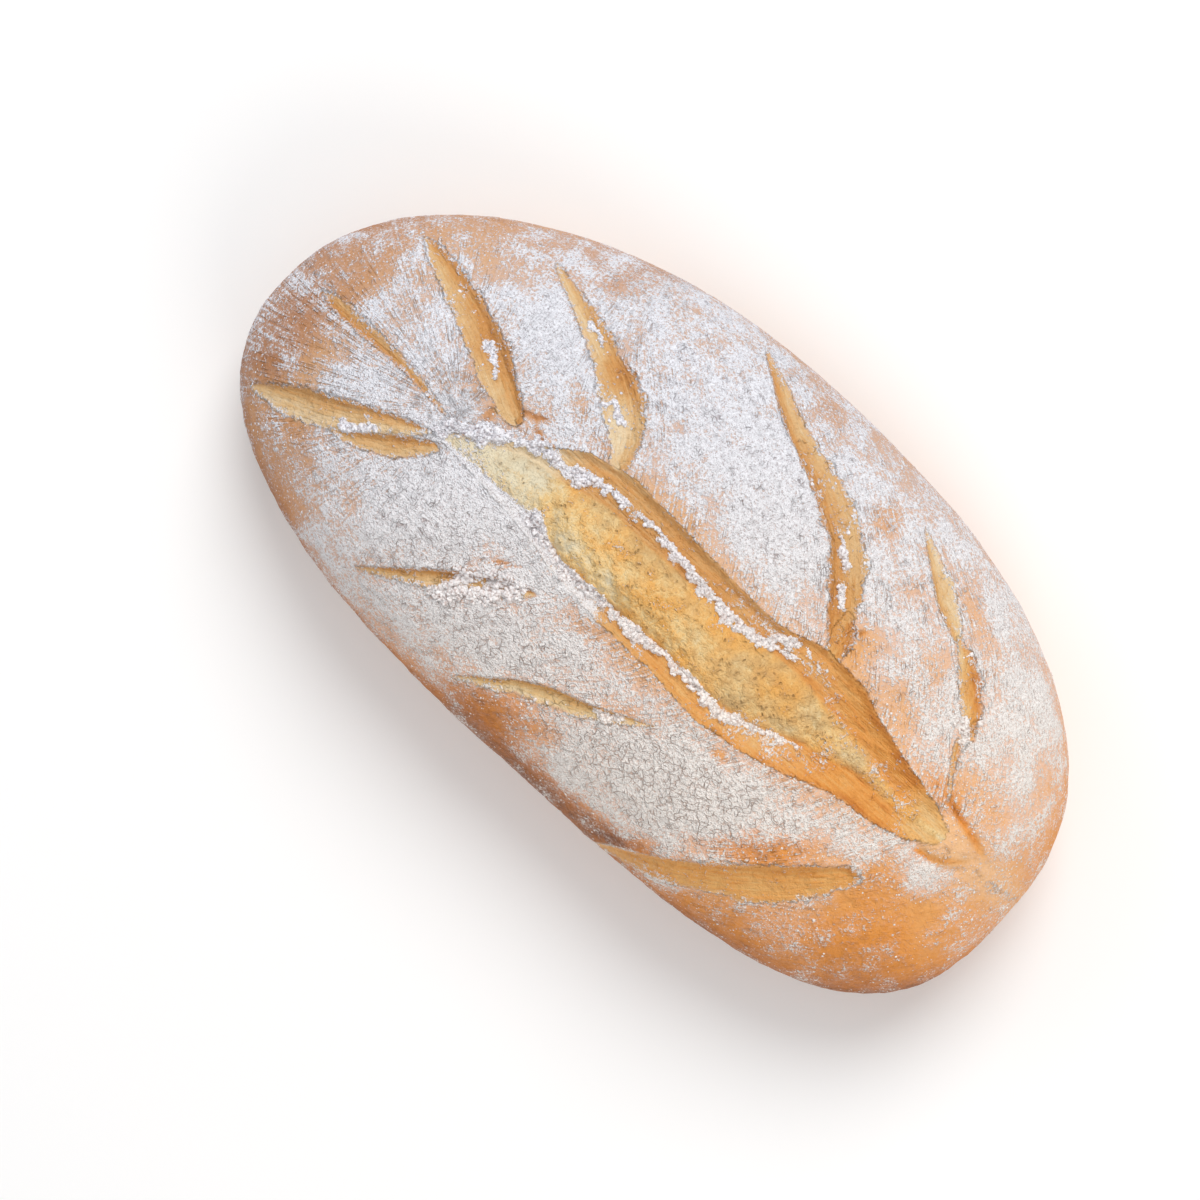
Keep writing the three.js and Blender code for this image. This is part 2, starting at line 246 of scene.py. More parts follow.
def smooth_points(directions):
    """Points of the smooth loaf that directions from its middle meet."""
    polar = np.arccos(np.clip(directions[:, 2], -1, 1))
    heading = np.arctan2(directions[:, 1], directions[:, 0])
    cosine, sine = np.cos(heading), np.sin(heading)
    power = mix(PROFILE_POWER_ACROSS, PROFILE_POWER_ALONG, cosine**2)
    upper = polar <= math.pi / 2
    rise = np.clip(np.cos(polar), 0, 1)
    down = 2 * np.clip(polar - math.pi / 2, 0, None)
    tuck = np.minimum(down, math.pi / 2)
    inward = np.clip(down - math.pi / 2, 0, None) / (math.pi / 2)
    share = np.where(
        upper,
        np.sin(polar) ** (2 / power),
        (FOOT_SHARE + (1 - FOOT_SHARE) * np.cos(tuck)) * (1 - inward),
    )
    level = np.where(
        upper,
        WIDEST_LEVEL + (CRUST_HEIGHT - WIDEST_LEVEL) * rise ** (2 / SHOULDER_POWER),
        WIDEST_LEVEL * (1 - np.sin(tuck)),
    )
    end_power = mix(ROUND_END_POWER, BLUNT_END_POWER, smooth(-0.3, 0.3, cosine))
    outline = (np.abs(cosine) ** end_power + np.abs(sine) ** end_power) ** (-1 / end_power)
    reach = share * outline
    across = reach * cosine
    bend = np.where(across > 0, BLUNT_END_BEND, ROUND_END_BEND)
    x = LENGTH / 2 * across
    y = WIDTH / 2 * reach * sine - bend * across**2
    return np.stack([x, y, np.maximum(level, 0)], 1)


def unit(vectors):
    """Vectors, one a row, at length 1."""
    return vectors / np.maximum(np.linalg.norm(vectors, axis=1, keepdims=True), 1e-12)


def smooth_normals(directions):
    """Outward normals of the smooth loaf, from neighbouring directions."""
    step = 1e-3
    helper = np.where(np.abs(directions[:, 2:3]) < 0.9, (0.0, 0.0, 1.0), (1.0, 0.0, 0.0))
    east = unit(np.cross(helper, directions))
    north = np.cross(directions, east)
    slopes = [
        smooth_points(unit(directions + step * tangent))
        - smooth_points(unit(directions - step * tangent))
        for tangent in (east, north)
    ]
    return unit(np.cross(slopes[0], slopes[1]))


# ---- the cuts --------------------------------------------------------------------------------


def sampled_path(corners):
    """A smooth path through a few corners, as points."""
    corners = [np.array(corner, float) for corner in corners]
    ends = [2 * corners[0] - corners[1], *corners, 2 * corners[-1] - corners[-2]]
    points = []
    for i in range(1, len(ends) - 2):
        a, b, c, d = ends[i - 1 : i + 3]
        for t in np.arange(PATH_STEPS) / PATH_STEPS:
            curve = 2 * b + (c - a) * t + (2 * a - 5 * b + 4 * c - d) * t**2
            points.append((curve + (3 * b - a - 3 * c + d) * t**3) / 2)
    return np.array([*points, corners[-1]])


class Cut:
    """A short cut or other path, which can say where places lie beside it."""

    def __init__(self, path, shape=(1, 0, 0.5, 0, 1), glow=(0, 0), flour=()):
        self.points = sampled_path(path)
        self.width, self.depth, self.widest, self.tip, self.sharp = shape
        self.glow = glow
        self.flour = flour

    def half_width(self, share):
        """Half the width at a share of the path: a lens with its belly at `widest`."""
        narrowed = 1 - (1 - self.tip) * (share - self.widest) / (1 - self.widest)
        lens = np.where(share < self.widest, share / self.widest, narrowed)
        return self.width / 2 * np.clip(lens, 0, None) ** CUT_TAPER_POWER

    def beside(self, x, y):
        """Share of the path, distance to it, side of it and the way to it, of places."""
        near = {"distance": np.full(x.shape, np.inf)}
        runs = len(self.points) - 1
        for i in range(runs):
            run = self.points[i + 1] - self.points[i]
            off_x, off_y = x - self.points[i][0], y - self.points[i][1]
            along = np.clip((off_x * run[0] + off_y * run[1]) / run.dot(run), 0, 1)
            to_x, to_y = along * run[0] - off_x, along * run[1] - off_y
            distance = np.hypot(to_x, to_y)
            closer = distance < near["distance"]
            values = {
                "distance": distance,
                "share": (i + along) / runs,
                "side": np.where(run[0] * off_y < run[1] * off_x, -1.0, 1.0),
                "to_x": to_x,
                "to_y": to_y,
            }
            near = {
                key: np.where(closer, value, near.get(key, value)) for key, value in values.items()
            }
        near["half_width"] = self.half_width(near["share"])
        near["fullness"] = near["half_width"] / (self.width / 2)
        near["to_sharp"] = near["distance"] * near["side"] * self.sharp
        near["depth"] = self.depth
        return near


CUT_LIST = [Cut(**cut) for cut in CUTS]


def cut_relief(near):
    """Height that a cut adds: a trough with one steep wall, a lip and a soft valley."""
    distance, half_width, full = near["distance"], near["half_width"], near["fullness"]
    valley = -CUT_VALLEY_DEPTH * full * np.exp(-((distance / CUT_VALLEY_REACH) ** 2))
    safe_half = np.maximum(half_width, 1e-6)
    from_sharp = np.clip((half_width - near["to_sharp"]) / (2 * safe_half), 0, 1)
    trough = smooth(0, 0.3, from_sharp) * (1 - from_sharp) ** 0.8
    over_lip = np.clip(distance - half_width, 0, None) / CUT_LIP_REACH
    lip = CUT_LIP_HEIGHT * full * np.exp(-(over_lip**2)) * smooth(0, 0.25, over_lip)
    lip = np.where(near["to_sharp"] > 0, lip, 0)
    inside = distance < half_width
    return valley + np.where(inside, -2 * near["depth"] * half_width * trough, lip)


def cut_overhang(near):
    """Sideways move, in X and Y, of the sharp lip of a cut out over the cut."""
    over = (near["distance"] - near["half_width"]) / 1.6
    reach = CUT_OVERHANG * near["fullness"] ** 2 * np.exp(-(over**2))
    reach = np.where((near["to_sharp"] > 0) & (over > -1.2), reach, 0)
    distance = np.maximum(near["distance"], 1e-6)
    return reach * near["to_x"] / distance, reach * near["to_y"] / distance


# ---- the long slash --------------------------------------------------------------------------


def slash_at(x):
    """The slash's measures at places along X, and whether they lie between its ends."""
    table = np.array(SLASH, float)
    names = ("low", "high", "crumb_low", "crumb_high", "step", "crumb", "sink")
    at = {name: np.interp(x, table[:, 0], table[:, i + 1]) for i, name in enumerate(names)}
    at["open"] = (x > table[0, 0]) & (x < table[-1, 0])
    at["flat"] = mix(0.55, 0.05, smooth(36, 62, x))
    return at


def slash_relief(at, y):
    """Height that the slash adds: lips, the drop to the torn bands, the pillow of crumb."""
    lip_height = SLASH_LIP_HEIGHT * np.minimum(at["step"] / 2, 1)
    away = np.maximum(at["low"] - y, y - at["high"])
    outside = lip_height * np.exp(-((np.maximum(away, 0) / SLASH_LIP_REACH) ** 2))
    middle = (at["crumb_low"] + at["crumb_high"]) / 2
    half = np.maximum((at["crumb_high"] - at["crumb_low"]) / 2, 1e-6)
    from_middle = np.clip(np.abs(y - middle) / half, 0, 1)
    pillow = at["crumb"] * (1 - from_middle**2) ** CRUMB_ROUNDNESS - at["sink"]
    high_side = y > middle
    band_width = np.where(high_side, at["high"] - at["crumb_high"], at["crumb_low"] - at["low"])
    band_width = np.maximum(band_width, 1e-6)
    inwards = np.clip(-away / band_width, 0, 1)
    wall = smooth(0, np.minimum(SLASH_WALL_WIDTH / band_width, 0.6), inwards)
    band = mix(-at["step"] * wall, -at["sink"], smooth(at["flat"], 1, inwards))
    inside = band + lip_height * (1 - wall)
    in_crumb = (y > at["crumb_low"]) & (y < at["crumb_high"])
    height = np.where(in_crumb, pillow, np.where(away >= 0, outside, inside))
    return np.where(at["open"], height, 0)


def slash_overhang(at, y):
    """Move in Y of the crust's lips out over the torn bands."""
    away = np.maximum(at["low"] - y, y - at["high"])
    reach = SLASH_OVERHANG * np.minimum(at["step"] / 2, 1) * np.exp(-((away / 2.0) ** 2))
    reach = reach * smooth(-1.4, -0.3, away)
    towards = np.where(y > (at["low"] + at["high"]) / 2, -1.0, 1.0)
    return np.where(at["open"], reach * towards, 0)


def out_of_knot(x, y):
    """How far out from the knot's middle places lie, 1 at its rim."""
    return np.hypot((x - KNOT["x"]) / (KNOT["length"] / 2), (y - KNOT["y"]) / (KNOT["width"] / 2))


def knot_relief(x, y):
    """Height of the knot: a low round pad inside a shallow groove."""
    out = out_of_knot(x, y)
    pad = KNOT["height"] * np.clip(1 - out**2, 0, None)
    return pad - KNOT["groove"] * np.exp(-(((out - 1.08) / 0.22) ** 2))


def swell_relief(x, y):
    """Height of the long slow waves of the crust."""
    waves = [h * np.sin(2 * np.pi * (x / lx + y / ly + turn)) for h, lx, ly, turn in SWELLS]
    return sum(waves)


# ---- the skin --------------------------------------------------------------------------------


def edge_plan():
    """Longest edge allowed on the top, on a grid of 1 mm squares as seen from above."""
    across, along = (
        np.arange(-size / 2 - PLAN_MARGIN, size / 2 + PLAN_MARGIN + 1) for size in (WIDTH, LENGTH)
    )
    x, y = (part.ravel() for part in np.meshgrid(along, across))
    at = slash_at(x)
    edges = [at[name] for name in ("low", "high", "crumb_low", "crumb_high")]
    nearest = np.min([np.abs(y - edge) for edge in edges], axis=0)
    nearest = np.where(at["open"], nearest, np.inf)
    knot = np.abs(np.hypot(x - KNOT["x"], y - KNOT["y"]) - KNOT["length"] / 2)
    nearest = np.minimum(nearest, knot)
    for cut in CUT_LIST:
        near = cut.beside(x, y)
        nearest = np.minimum(nearest, np.clip(near["distance"] - near["half_width"], 0, None))
    in_slash = at["open"] & (y > at["low"]) & (y < at["high"])
    nearest = np.where(in_slash, np.minimum(nearest, NEAR_IN_SLASH), nearest)
    plan = np.minimum(EDGE_AT_CUTS + EDGE_GROWTH * nearest, EDGE_ON_TOP)
    return plan.reshape(len(across), len(along))


def longest_edges(points, plan):
    """Longest edge allowed round points of the skin."""
    x, y, z = points.T
    row, column = (
        np.clip(np.rint(part + size / 2 + PLAN_MARGIN).astype(int), 0, squares - 1)
        for part, size, squares in ((y, WIDTH, plan.shape[0]), (x, LENGTH, plan.shape[1]))
    )
    side = mix(EDGE_ON_SIDE, plan[row, column], smooth(SIDE_LEVEL, TOP_LEVEL, z))
    return np.where(z < FOOT_LEVEL, EDGE_ON_FOOT, side)


def coordinates(verts):
    """The places of bmesh vertices, as an array."""
    flat = np.fromiter((part for v in verts for part in v.co), float, len(verts) * 3)
    return flat.reshape(-1, 3)


def refined_ball():
    """A bmesh ball of directions, split until its edges on the loaf are short enough."""
    bm = bmesh.new()
    bmesh.ops.create_icosphere(bm, subdivisions=5, radius=1)
    plan = edge_plan()
    for _ in range(MOST_PASSES):
        bm.verts.index_update()
        bm.edges.ensure_lookup_table()
        directions = unit(coordinates(bm.verts))
        points = smooth_points(directions)
        ends = np.fromiter((v.index for e in bm.edges for v in e.verts), int, len(bm.edges) * 2)
        first, second = ends[0::2], ends[1::2]
        lengths = np.linalg.norm(points[first] - points[second], axis=1)
        middles = smooth_points(unit(directions[first] + directions[second]))
        too_long = np.flatnonzero(lengths > longest_edges(middles, plan))
        if not len(too_long):
            break
        bmesh.ops.subdivide_edges(bm, edges=[bm.edges[i] for i in too_long], cuts=1)
        many_sided = [face for face in bm.faces if len(face.verts) > 3]
        bmesh.ops.triangulate(bm, faces=many_sided)
    return bm


# ---- flour and baking over the crust ---------------------------------------------------------

# Ridges of pushed-up flour beside the slash, and clumps in the cuts: path, half width, height.
FLOUR_RIDGES = [
    ([(-79, -12.5), (-72, -5), (-64, 1), (-54, 4.5), (-46, 6)], 3.2, 0.9),
    ([(-48, 5.5), (-42, 7), (-32, 10), (-20, 10.8)], 1.9, 0.9),
    ([(-20, 10.8), (-8, 10.4), (2, 9.6), (14, 7.8), (28, 7), (38, 8.5), (50, 10.5)], 1.4, 0.9),
    ([(-42, -9), (-36, -12), (-30, -15.3), (-20, -16.4), (-8, -15.2)], 2.1, 1.0),
    ([(-10, -16), (0, -16.4), (8, -15.6)], 2.3, 0.9),
    ([(6, -15.5), (14, -14.6), (22, -15)], 1.0, 0.7),
    ([(21, -14.6), (33, -15.6), (40, -16.4), (47, -14.5)], 1.6, 0.8),
    ([(36, 11), (44, 14), (49, 12.5)], 1.3, 0.5),
    ([(46, -15), (54, -12), (66, -9)], 0.7, 0.3),
    ([(-50, -49), (-42, -43), (-32, -35.5), (-27, -31)], 2.5, 0.9),
    ([(-68, 44), (-62, 41.5), (-57, 38)], 1.3, 0.5),
    ([(-46, 31.5), (-42, 29), (-38, 28)], 1.3, 0.45),
    ([(-86, 20), (-80, 16), (-76, 11)], 1.0, 0.35),
    ([(31, 47), (36, 43.5), (40, 41)], 1.2, 0.5),
    ([(41, 37), (44, 34), (46, 31)], 0.7, 0.3),
    ([(94, 30), (98, 28), (101, 25)], 1.8, 0.8),
    ([(12, -42), (17, -39.5), (20, -37)], 1.1, 0.45),
    ([(-104, -29), (-99, -27.5), (-92, -22)], 1.2, 0.35),
]

# Soft oval patches of the crust: middle, half length, half width, turn in degrees, change of
# flour, change of baking.
PATCHES = [
    # Bare or thinly dusted places.
    (-50, 24, 8, 5, -20, -0.3, 0.0),
    (-37, 20, 5, 3.5, 0, -0.3, 0.1),
    (-13, 20.5, 16, 4, -3, -0.2, -0.05),
    (20, 18.5, 24, 3.6, -2, -0.1, -0.05),
    (-70, 4, 2, 4.5, 0, -0.5, 0.25),
    (-80, 8, 7, 5, 20, -0.2, 0.1),
    (-136, -19, 8, 15, 0, -0.2, 0.15),
    (-129, -27, 7, 12, -30, -0.15, 0.1),
    (-107, -50, 22, 12, -35, -0.1, 0.15),
    (-134, -6, 12, 32, -10, -0.12, 0.3),
    (-72, 60, 26, 8, 26, -0.1, 0.25),
    (-104, 42, 16, 7, 35, -0.1, 0.05),
    (-68, 57, 9, 5, 30, -0.08, 0.05),
    (-10, -26, 7, 5, 40, -0.3, 0.05),
    (8, -24, 13, 4, 0, -0.2, 0.0),
    (48, -26, 3, 2, 0, -0.5, 0.1),
    (74, -42, 18, 7.5, 34, -0.48, 0.2),
    (38, 59, 5.5, 5.5, 0, -0.55, 0.05),
    (77, 33, 7, 7, 0, -0.24, 0),
    (79, 21, 9, 4, -20, -0.3, 0),
    (56, 26, 5.5, 7, -10, -0.45, 0.05),
    (76, 55, 9, 4, -35, -0.3, 0),
    (93, 47, 8, 5, -35, -0.2, 0),
    (116, 14, 14, 7, -28, -0.4, 0.0),
    (127, -42, 24, 19, 0, -0.62, 0.22),
    (108, -24, 8, 13, -25, -0.45, 0.08),
    (130, -17, 16, 12, 0, -0.35, 0.06),
    (131, -53, 16, 11, 50, -0.3, 0.08),
    (78, -35, 22, 6, 36, -0.2, 0.1),
    (53, 52, 6, 9, 20, -0.2, 0.1),
    (105, 10, 9, 4, -20, -0.35, 0.2),
    (141, 14, 9, 26, 0, -0.4, 0.08),
    (70, 17, 24, 3.5, -14, -0.15, 0),
    (76, -19, 22, 3.5, 12, -0.12, 0),
    (-12, -64, 20, 9, 14, -0.45, 0.38),
    (-125, -36, 13, 6.5, -15, -0.42, 0.1),
    (3, 71, 9, 4, -5, -0.3, 0.1),
    (20, -35, 9, 4, 25, -0.3, 0.1),
    (132, 40, 8, 15, -35, -0.2, 0),
    (50, -65, 15, 5, 25, -0.35, 0.3),
    (22, -71, 30, 5, 4, -0.3, 0.3),
    (92, -62, 27, 12, 22, -0.55, 0.2),
    (-57, 12, 5, 6, 0, -0.18, 0.1),
    # Thickly dusted places.
    (-62, -30, 15, 12, 25, 0.55, 0),
    (-74, 33, 9, 6, -30, 0.25, 0),
    (8, 46, 34, 17, -8, 0.22, 0),
    (-38, -53, 10, 6, 30, 0.25, 0),
    (50, -43, 24, 13, 22, 0.42, 0),
    (-16, -42, 20, 9, 20, 0.14, 0),
    (117, -14, 7, 6, -15, 0.45, 0),
    (100, -56, 14, 6, 30, 0.22, 0),
    (62, 38, 7, 5, 0, 0.2, 0),
    (106, 44, 14, 8, -40, 0.12, 0),
    (-44, -19, 26, 5.5, -14, 0.5, 0),
    (-104, 12, 14, 8, 5, 0.12, 0),
]

# How deep the colour of torn dough is, station by station along the slash: in the crumb's
# middle, at its edges, and at the crust's lips.
SLASH_GLOW = [
    (-79, 0.0, 0.0, 0.1),
    (-47, 0.03, 0.08, 0.2),
    (-38, 0.38, 0.5, 0.4),
    (0, 0.47, 0.62, 0.5),
    (34, 0.47, 0.62, 0.55),
    (44, 0.42, 0.6, 0.72),
    (64, 0.38, 0.7, 0.85),
    (96, 0.5, 0.8, 0.9),
    (104, 0.3, 0.45, 0.6),
    (114, 0.25, 0.35, 0.4),
]

# Soft spots, each with its middle, half length, half width, turn in degrees, and amount.
# Deeper and paler spots of torn dough.
GLOW_SPOTS = [
    (-49, 38, 8, 6, 0, 0.32),
    (-37, 28, 8, 6, -45, -0.22),
    (-86, 17, 10, 5, -25, 0.2),
    (-24, -10, 15, 4, 0, -0.22),
    (47, 34, 8, 6, -60, 0.2),
    (92, 38, 8, 6, -30, 0.25),
    (45, 2, 16, 7, 0, 0.24),
]
# Flour strewn in the slash.
SLASH_FLECKS = [
    (56, -14.5, 17, 5, 12, 1.0),
    (34, 12, 22, 2.6, 0, 0.8),
    (62, 8, 10, 3, -20, 0.6),
    (88, 3, 12, 2, -8, 0.5),
]
# Thick flour that has cracked.
CRACKED_SPOTS = [
    (48, -44, 36, 16, 25, 1.0),
    (-15, -45, 40, 18, 10, 0.7),
    (-58, -32, 22, 18, 20, 0.55),
    (10, 45, 60, 22, -10, 0.4),
]
# Crumb that is greyer.
GREY_SPOTS = [(-52, 4, 9, 3.5, 15, 0.35)]
# The knot's smooth tail.
KNOT_TAIL = [(129, -1, 21, 7, -3, 1.0)]

# Grooves where the crumb folds over itself: path, half width, depth.
FOLDS = [
    ([(-43, -0.5), (-35.6, -7), (-30, -12.2), (-26.5, -15)], 1.6, 0.8),
    ([(37, -2), (41, 1.5), (46, 6.5)], 1.1, 0.7),
    ([(63, -6), (65.5, -1), (66, 4)], 1.0, 0.9),
    ([(-59, -7), (-50, -4), (-44, 1)], 1.5, 0.35),
    ([(-20, -9), (-4, -11), (8, -9.5)], 2.2, 0.45),
    ([(66, 3.5), (80, 3.2), (96, 0.5)], 1.3, 0.8),
    ([(70, -4.5), (84, -3.6), (97, -1.8)], 1.2, 0.8),
    ([(52, 16), (66, 12), (84, 6.5)], 1.4, 0.5),
    ([(60, -11.5), (76, -8.6), (90, -6)], 1.3, 0.4),
]
# Dark splits of the crust: path, half width, depth.
SPLITS = [
    ([(-68, 10), (-60, 11.5), (-55, 15.5)], 0.8, 0.9),
    ([(-60, 11), (-52, 8.5), (-44, 11)], 0.8, 0.8),
    ([(-43, -11), (-34, -16), (-24, -19)], 0.7, 0.7),
    ([(57, 32), (54, 27), (56, 22)], 0.6, 0.4),
    ([(104, 11), (116, 6.5), (130, 2)], 1.0, 0.9),
    ([(107, -9.5), (116, -7), (127, 0)], 0.9, 0.4),
    ([(-63, 3), (-52, 2), (-42, 3.5)], 0.9, 0.5),
    ([(-46, -33), (-34, -25), (-27, -22.5)], 0.7, 0.5),
]
# Wrinkles of the crust fan out from here at the round end, on arcs of this radius.
FAN = (-77.0, -2.0)
FAN_RADIUS = 42
# Elsewhere they run off the middle line like the veins of a leaf.
VEIN_START = 17
VEIN_SLANT = 0.5
VEIN_BEND = 0.0128
# Keeps the wrinkles of both sides apart, and spreads those in a cut along it.
LINE_SPREAD = 60

# Depth into torn dough, in millimetres, of a place that is nowhere near it, and the most stored.
OUTSIDE = -6.0
DEEPEST = 6.0

# Flour and crust turn from cool to warm along this way in X and Y, this far to either side.
# The flour's cool-to-warm tint is partly painted light, cool at the round end and warm at the blunt
# end, and partly its own colour.
WARM_WAY = (0.62, -0.78)
WARM_REACH = 70
WARM_MOST = 0.9


def near_path(corners, x, y):
    """Distance to a path and share of it, for places."""
    near = Cut(corners).beside(x, y)
    return near["distance"], near["share"]


def groove(corners, half_width, fade, x, y):
    """A soft groove along a path, from 0 to 1, fading over a share of it at each end."""
    distance, share = near_path(corners, x, y)
    taper = smooth(0, fade, share) * (1 - smooth(1 - fade, 1, share))
    return taper * np.exp(-((distance / half_width) ** 2))


def oval(x, y, patch):
    """How far into a soft oval patch places lie, from 0 to 1."""
    turn = math.radians(patch[4])
    off_x, off_y = x - patch[0], y - patch[1]
    along = (off_x * math.cos(turn) + off_y * math.sin(turn)) / patch[2]
    across = (off_y * math.cos(turn) - off_x * math.sin(turn)) / patch[3]
    return np.exp(-0.8 * (along**2 + across**2) ** 1.3)


def spotted(x, y, spots):
    """The sum of soft spots, each times the amount that ends its row."""
    return sum(spot[5] * oval(x, y, spot) for spot in spots)


class Skin:
    """The loaf's skin at many places, worked out step by step in millimetres."""

    def __init__(self, directions, relief):
        self.relief = relief
        self.base = smooth_points(directions)
        self.normals = smooth_normals(directions)
        self.x, self.y, self.z = self.base.T
        self.on_top = smooth(26, 42, self.z)
        self.at = slash_at(self.x)

        # Noise, by the size of its features.
        self.broad = lumps(self.base, 26, 1)
        self.middling = lumps(self.base, 9, 2)
        self.small = lumps(self.base, 3.2, 3)
        self.fine = lumps(self.base, 1.5, 4, 2)

        # Height over the smooth loaf, and moves in X and Y.
        count = len(self.x)
        self.height, self.move_x, self.move_y = np.zeros((3, count))
        # Flour on the crust, baking under it, clumps of flour and how coarse they are.
        self.flour, self.bake, self.clump, self.coarse = np.zeros((4, count))
        # Depth into any torn dough, into the slash and into its crumb, and how deep the
        # torn dough is coloured.
        self.torn, self.slash_in, self.crumb_in = np.full((3, count), OUTSIDE)
        self.glow = np.full(count, 0.4)
        # Closeness to a cut, how much the crust is stretched, and places across and along
        # the lines of stretching.
        self.near_cut, self.stretched, self.lines_u, self.lines_v = np.zeros((4, count))
        self.away_y = np.abs(self.y - FAN[1])
        self.in_fan = smooth(-48, -74, self.x)

    def build(self):
        """Does every step in order."""
        self.swell()
        self.dust()
        self.lay_lines()
        self.cut_crust()
        self.open_slash()
        self.fold_crumb()
        self.tie_knot()
        self.split_crust()
        self.stretch_crust()
        self.settle_flour()
        self.heap_flour()

    def swell(self):
        """The swells and lumps of the crust."""
        self.height += swell_relief(self.x, self.y) * smooth(30, 68, self.z)
        lumpy = 0.4 * self.broad + 0.3 * self.middling + 0.2 * self.small + 0.1 * self.fine
        self.height += self.relief * lumpy * (0.3 + 0.7 * self.on_top)

    def dust(self):
        """The flour that lies on the crust, thinner on steep sides, and the baking under it,
        browner on the steep near side partly as painted shade.
        """
        x, y, slope = self.x, self.y, self.normals[:, 2]
        far_side = smooth(-30, 45, y + 0.15 * x)
        round_end = smooth(-96, -138, x - 0.15 * y)
        near_side = np.maximum((1 - far_side) * mix(0.7, 1, smooth(-75, -35, x)), round_end)
        full = smooth(
            mix(-0.02, 0.12, near_side) + 0.14 * round_end,
            mix(0.6, 0.72, near_side) + 0.16 * round_end,
            slope,
        )
        most = mix(0.54, 0.66, smooth(-125, -60, x)) + 0.1 * self.broad + 0.05 * self.middling
        most -= 0.18 * smooth(-95, -125, x)
        self.flour = mix(mix(0.36, 0.06, near_side), most, full) * smooth(18, 30, self.z)
        # Steep crust on the near side is baked browner, partly as painted shade of the side turned
        # from the key light.
        self.bake = mix(mix(0.8, 0.5, far_side), 0.32, smooth(0.15, 0.85, slope))
        for patch in PATCHES:
            inside = oval(x, y, patch) * self.on_top
            self.flour += patch[5] * inside
            self.bake += patch[6] * inside
        least = (mix(0.12, 0.3, round_end) + 0.1 * self.middling) * self.on_top
        self.flour = np.maximum(self.flour, least)

    def lay_lines(self):
        """The lines along which the crust has stretched."""
        past = self.away_y - VEIN_START
        vein = self.x + VEIN_SLANT * past + VEIN_BEND * np.clip(past, 0, None) ** 2
        fan = FAN[0] + FAN_RADIUS * np.arctan2(self.x - FAN[0], self.away_y)
        self.lines_u = mix(vein, fan, self.in_fan)
        self.lines_v = self.away_y + LINE_SPREAD * np.sign(self.y - FAN[1])

    def line_places(self, across=1.0, along=1.0):
        """Places across and along the lines, each divided by a number."""
        return np.stack([self.lines_u / across, self.lines_v / along, self.z * 0], 1)

    def cut_crust(self):
        """The short cuts: troughs of torn dough with ragged edges."""
        uneven = 0.24 * self.middling + 0.2 * self.small + 0.08 * self.fine
        for cut in CUT_LIST:
            near = cut.beside(self.x, self.y)
            self.height += cut_relief(near) * self.on_top
            over_x, over_y = cut_overhang(near)
            self.move_x += over_x * self.on_top
            self.move_y += over_y * self.on_top
            ragged = near["half_width"] * (1.12 + uneven)
            depth = np.where(self.on_top > 0.5, ragged - near["distance"], OUTSIDE)
            across = near["to_sharp"] / np.maximum(near["half_width"], 0.5)
            tone = mix(*cut.glow, smooth(-0.7, 0.9, across))
            self.glow = np.where(depth > self.torn, tone, self.glow)
            inside = depth > 0
            along = near["share"] * LINE_SPREAD + near["half_width"]
            self.lines_u = np.where(inside, near["to_sharp"], self.lines_u)
            self.lines_v = np.where(inside, along, self.lines_v)
            self.torn = np.maximum(self.torn, depth)
            self.roll_flour(cut, near["share"], across, depth)
            fade = np.exp(-np.clip(-depth, 0, None) / 7)
            self.near_cut = np.maximum(self.near_cut, near["fullness"] * fade)

    def roll_flour(self, cut, share, across, depth):
        """Clumps of flour that have rolled into stretches of a cut."""
        speckle = self.small + self.fine
        for start, end, amount in cut.flour:
            band = smooth(start - 0.08, start + 0.04, share)
            band = band * (1 - smooth(end - 0.04, end + 0.08, share))
            rolled = band * amount * (depth > -0.6) * smooth(-1.1, 0.3, self.middling + across)
            rolled *= mix(smooth(-0.2, 0.5, speckle), 1, smooth(0.6, 1, amount))
            rolled = np.maximum(rolled, band * (depth > 0) * 0.8 * smooth(0.35, 0.9, speckle))
            self.clump += 0.45 * rolled
            self.coarse += 0.6 * rolled

    def open_slash(self):
        """The long slash, with the crumb that burst through it."""
        x, y, at = self.x, self.y, self.at
        wobble = 0.8 * self.broad + 0.3 * self.middling + 0.25 * self.small
        edge_y = y + wobble * np.minimum(at["step"], 1)
        self.height += slash_relief(at, edge_y) * self.on_top
        self.move_y += slash_overhang(at, edge_y) * self.on_top
        slash_in = np.minimum(edge_y - at["low"], at["high"] - edge_y)
        crumb_in = np.minimum(edge_y - at["crumb_low"], at["crumb_high"] - edge_y)
        self.slash_in = np.where(at["open"], slash_in, OUTSIDE)
        self.crumb_in = np.where(at["open"], crumb_in, OUTSIDE)

        stations, *tones = np.array(SLASH_GLOW).T
        at_middle, at_edge, at_lip = (np.interp(x, stations, tone) for tone in tones)
        tone = mix(at_lip, at_edge, smooth(0, 3.5, self.slash_in))
        tone = mix(tone, at_middle, smooth(-0.5, 3.5, self.crumb_in))
        self.glow = np.where(self.slash_in > self.torn, tone, self.glow)
        self.glow += spotted(x, y, GLOW_SPOTS)

        inside = self.slash_in > 0
        self.lines_u = np.where(inside, y, self.lines_u)
        self.lines_v = np.where(inside, x, self.lines_v)
        self.torn = np.maximum(self.torn, self.slash_in)
        fade = np.exp(-np.clip(-self.slash_in, 0, None) / 8)
        self.near_cut = np.maximum(self.near_cut, np.where(at["open"], fade, 0))

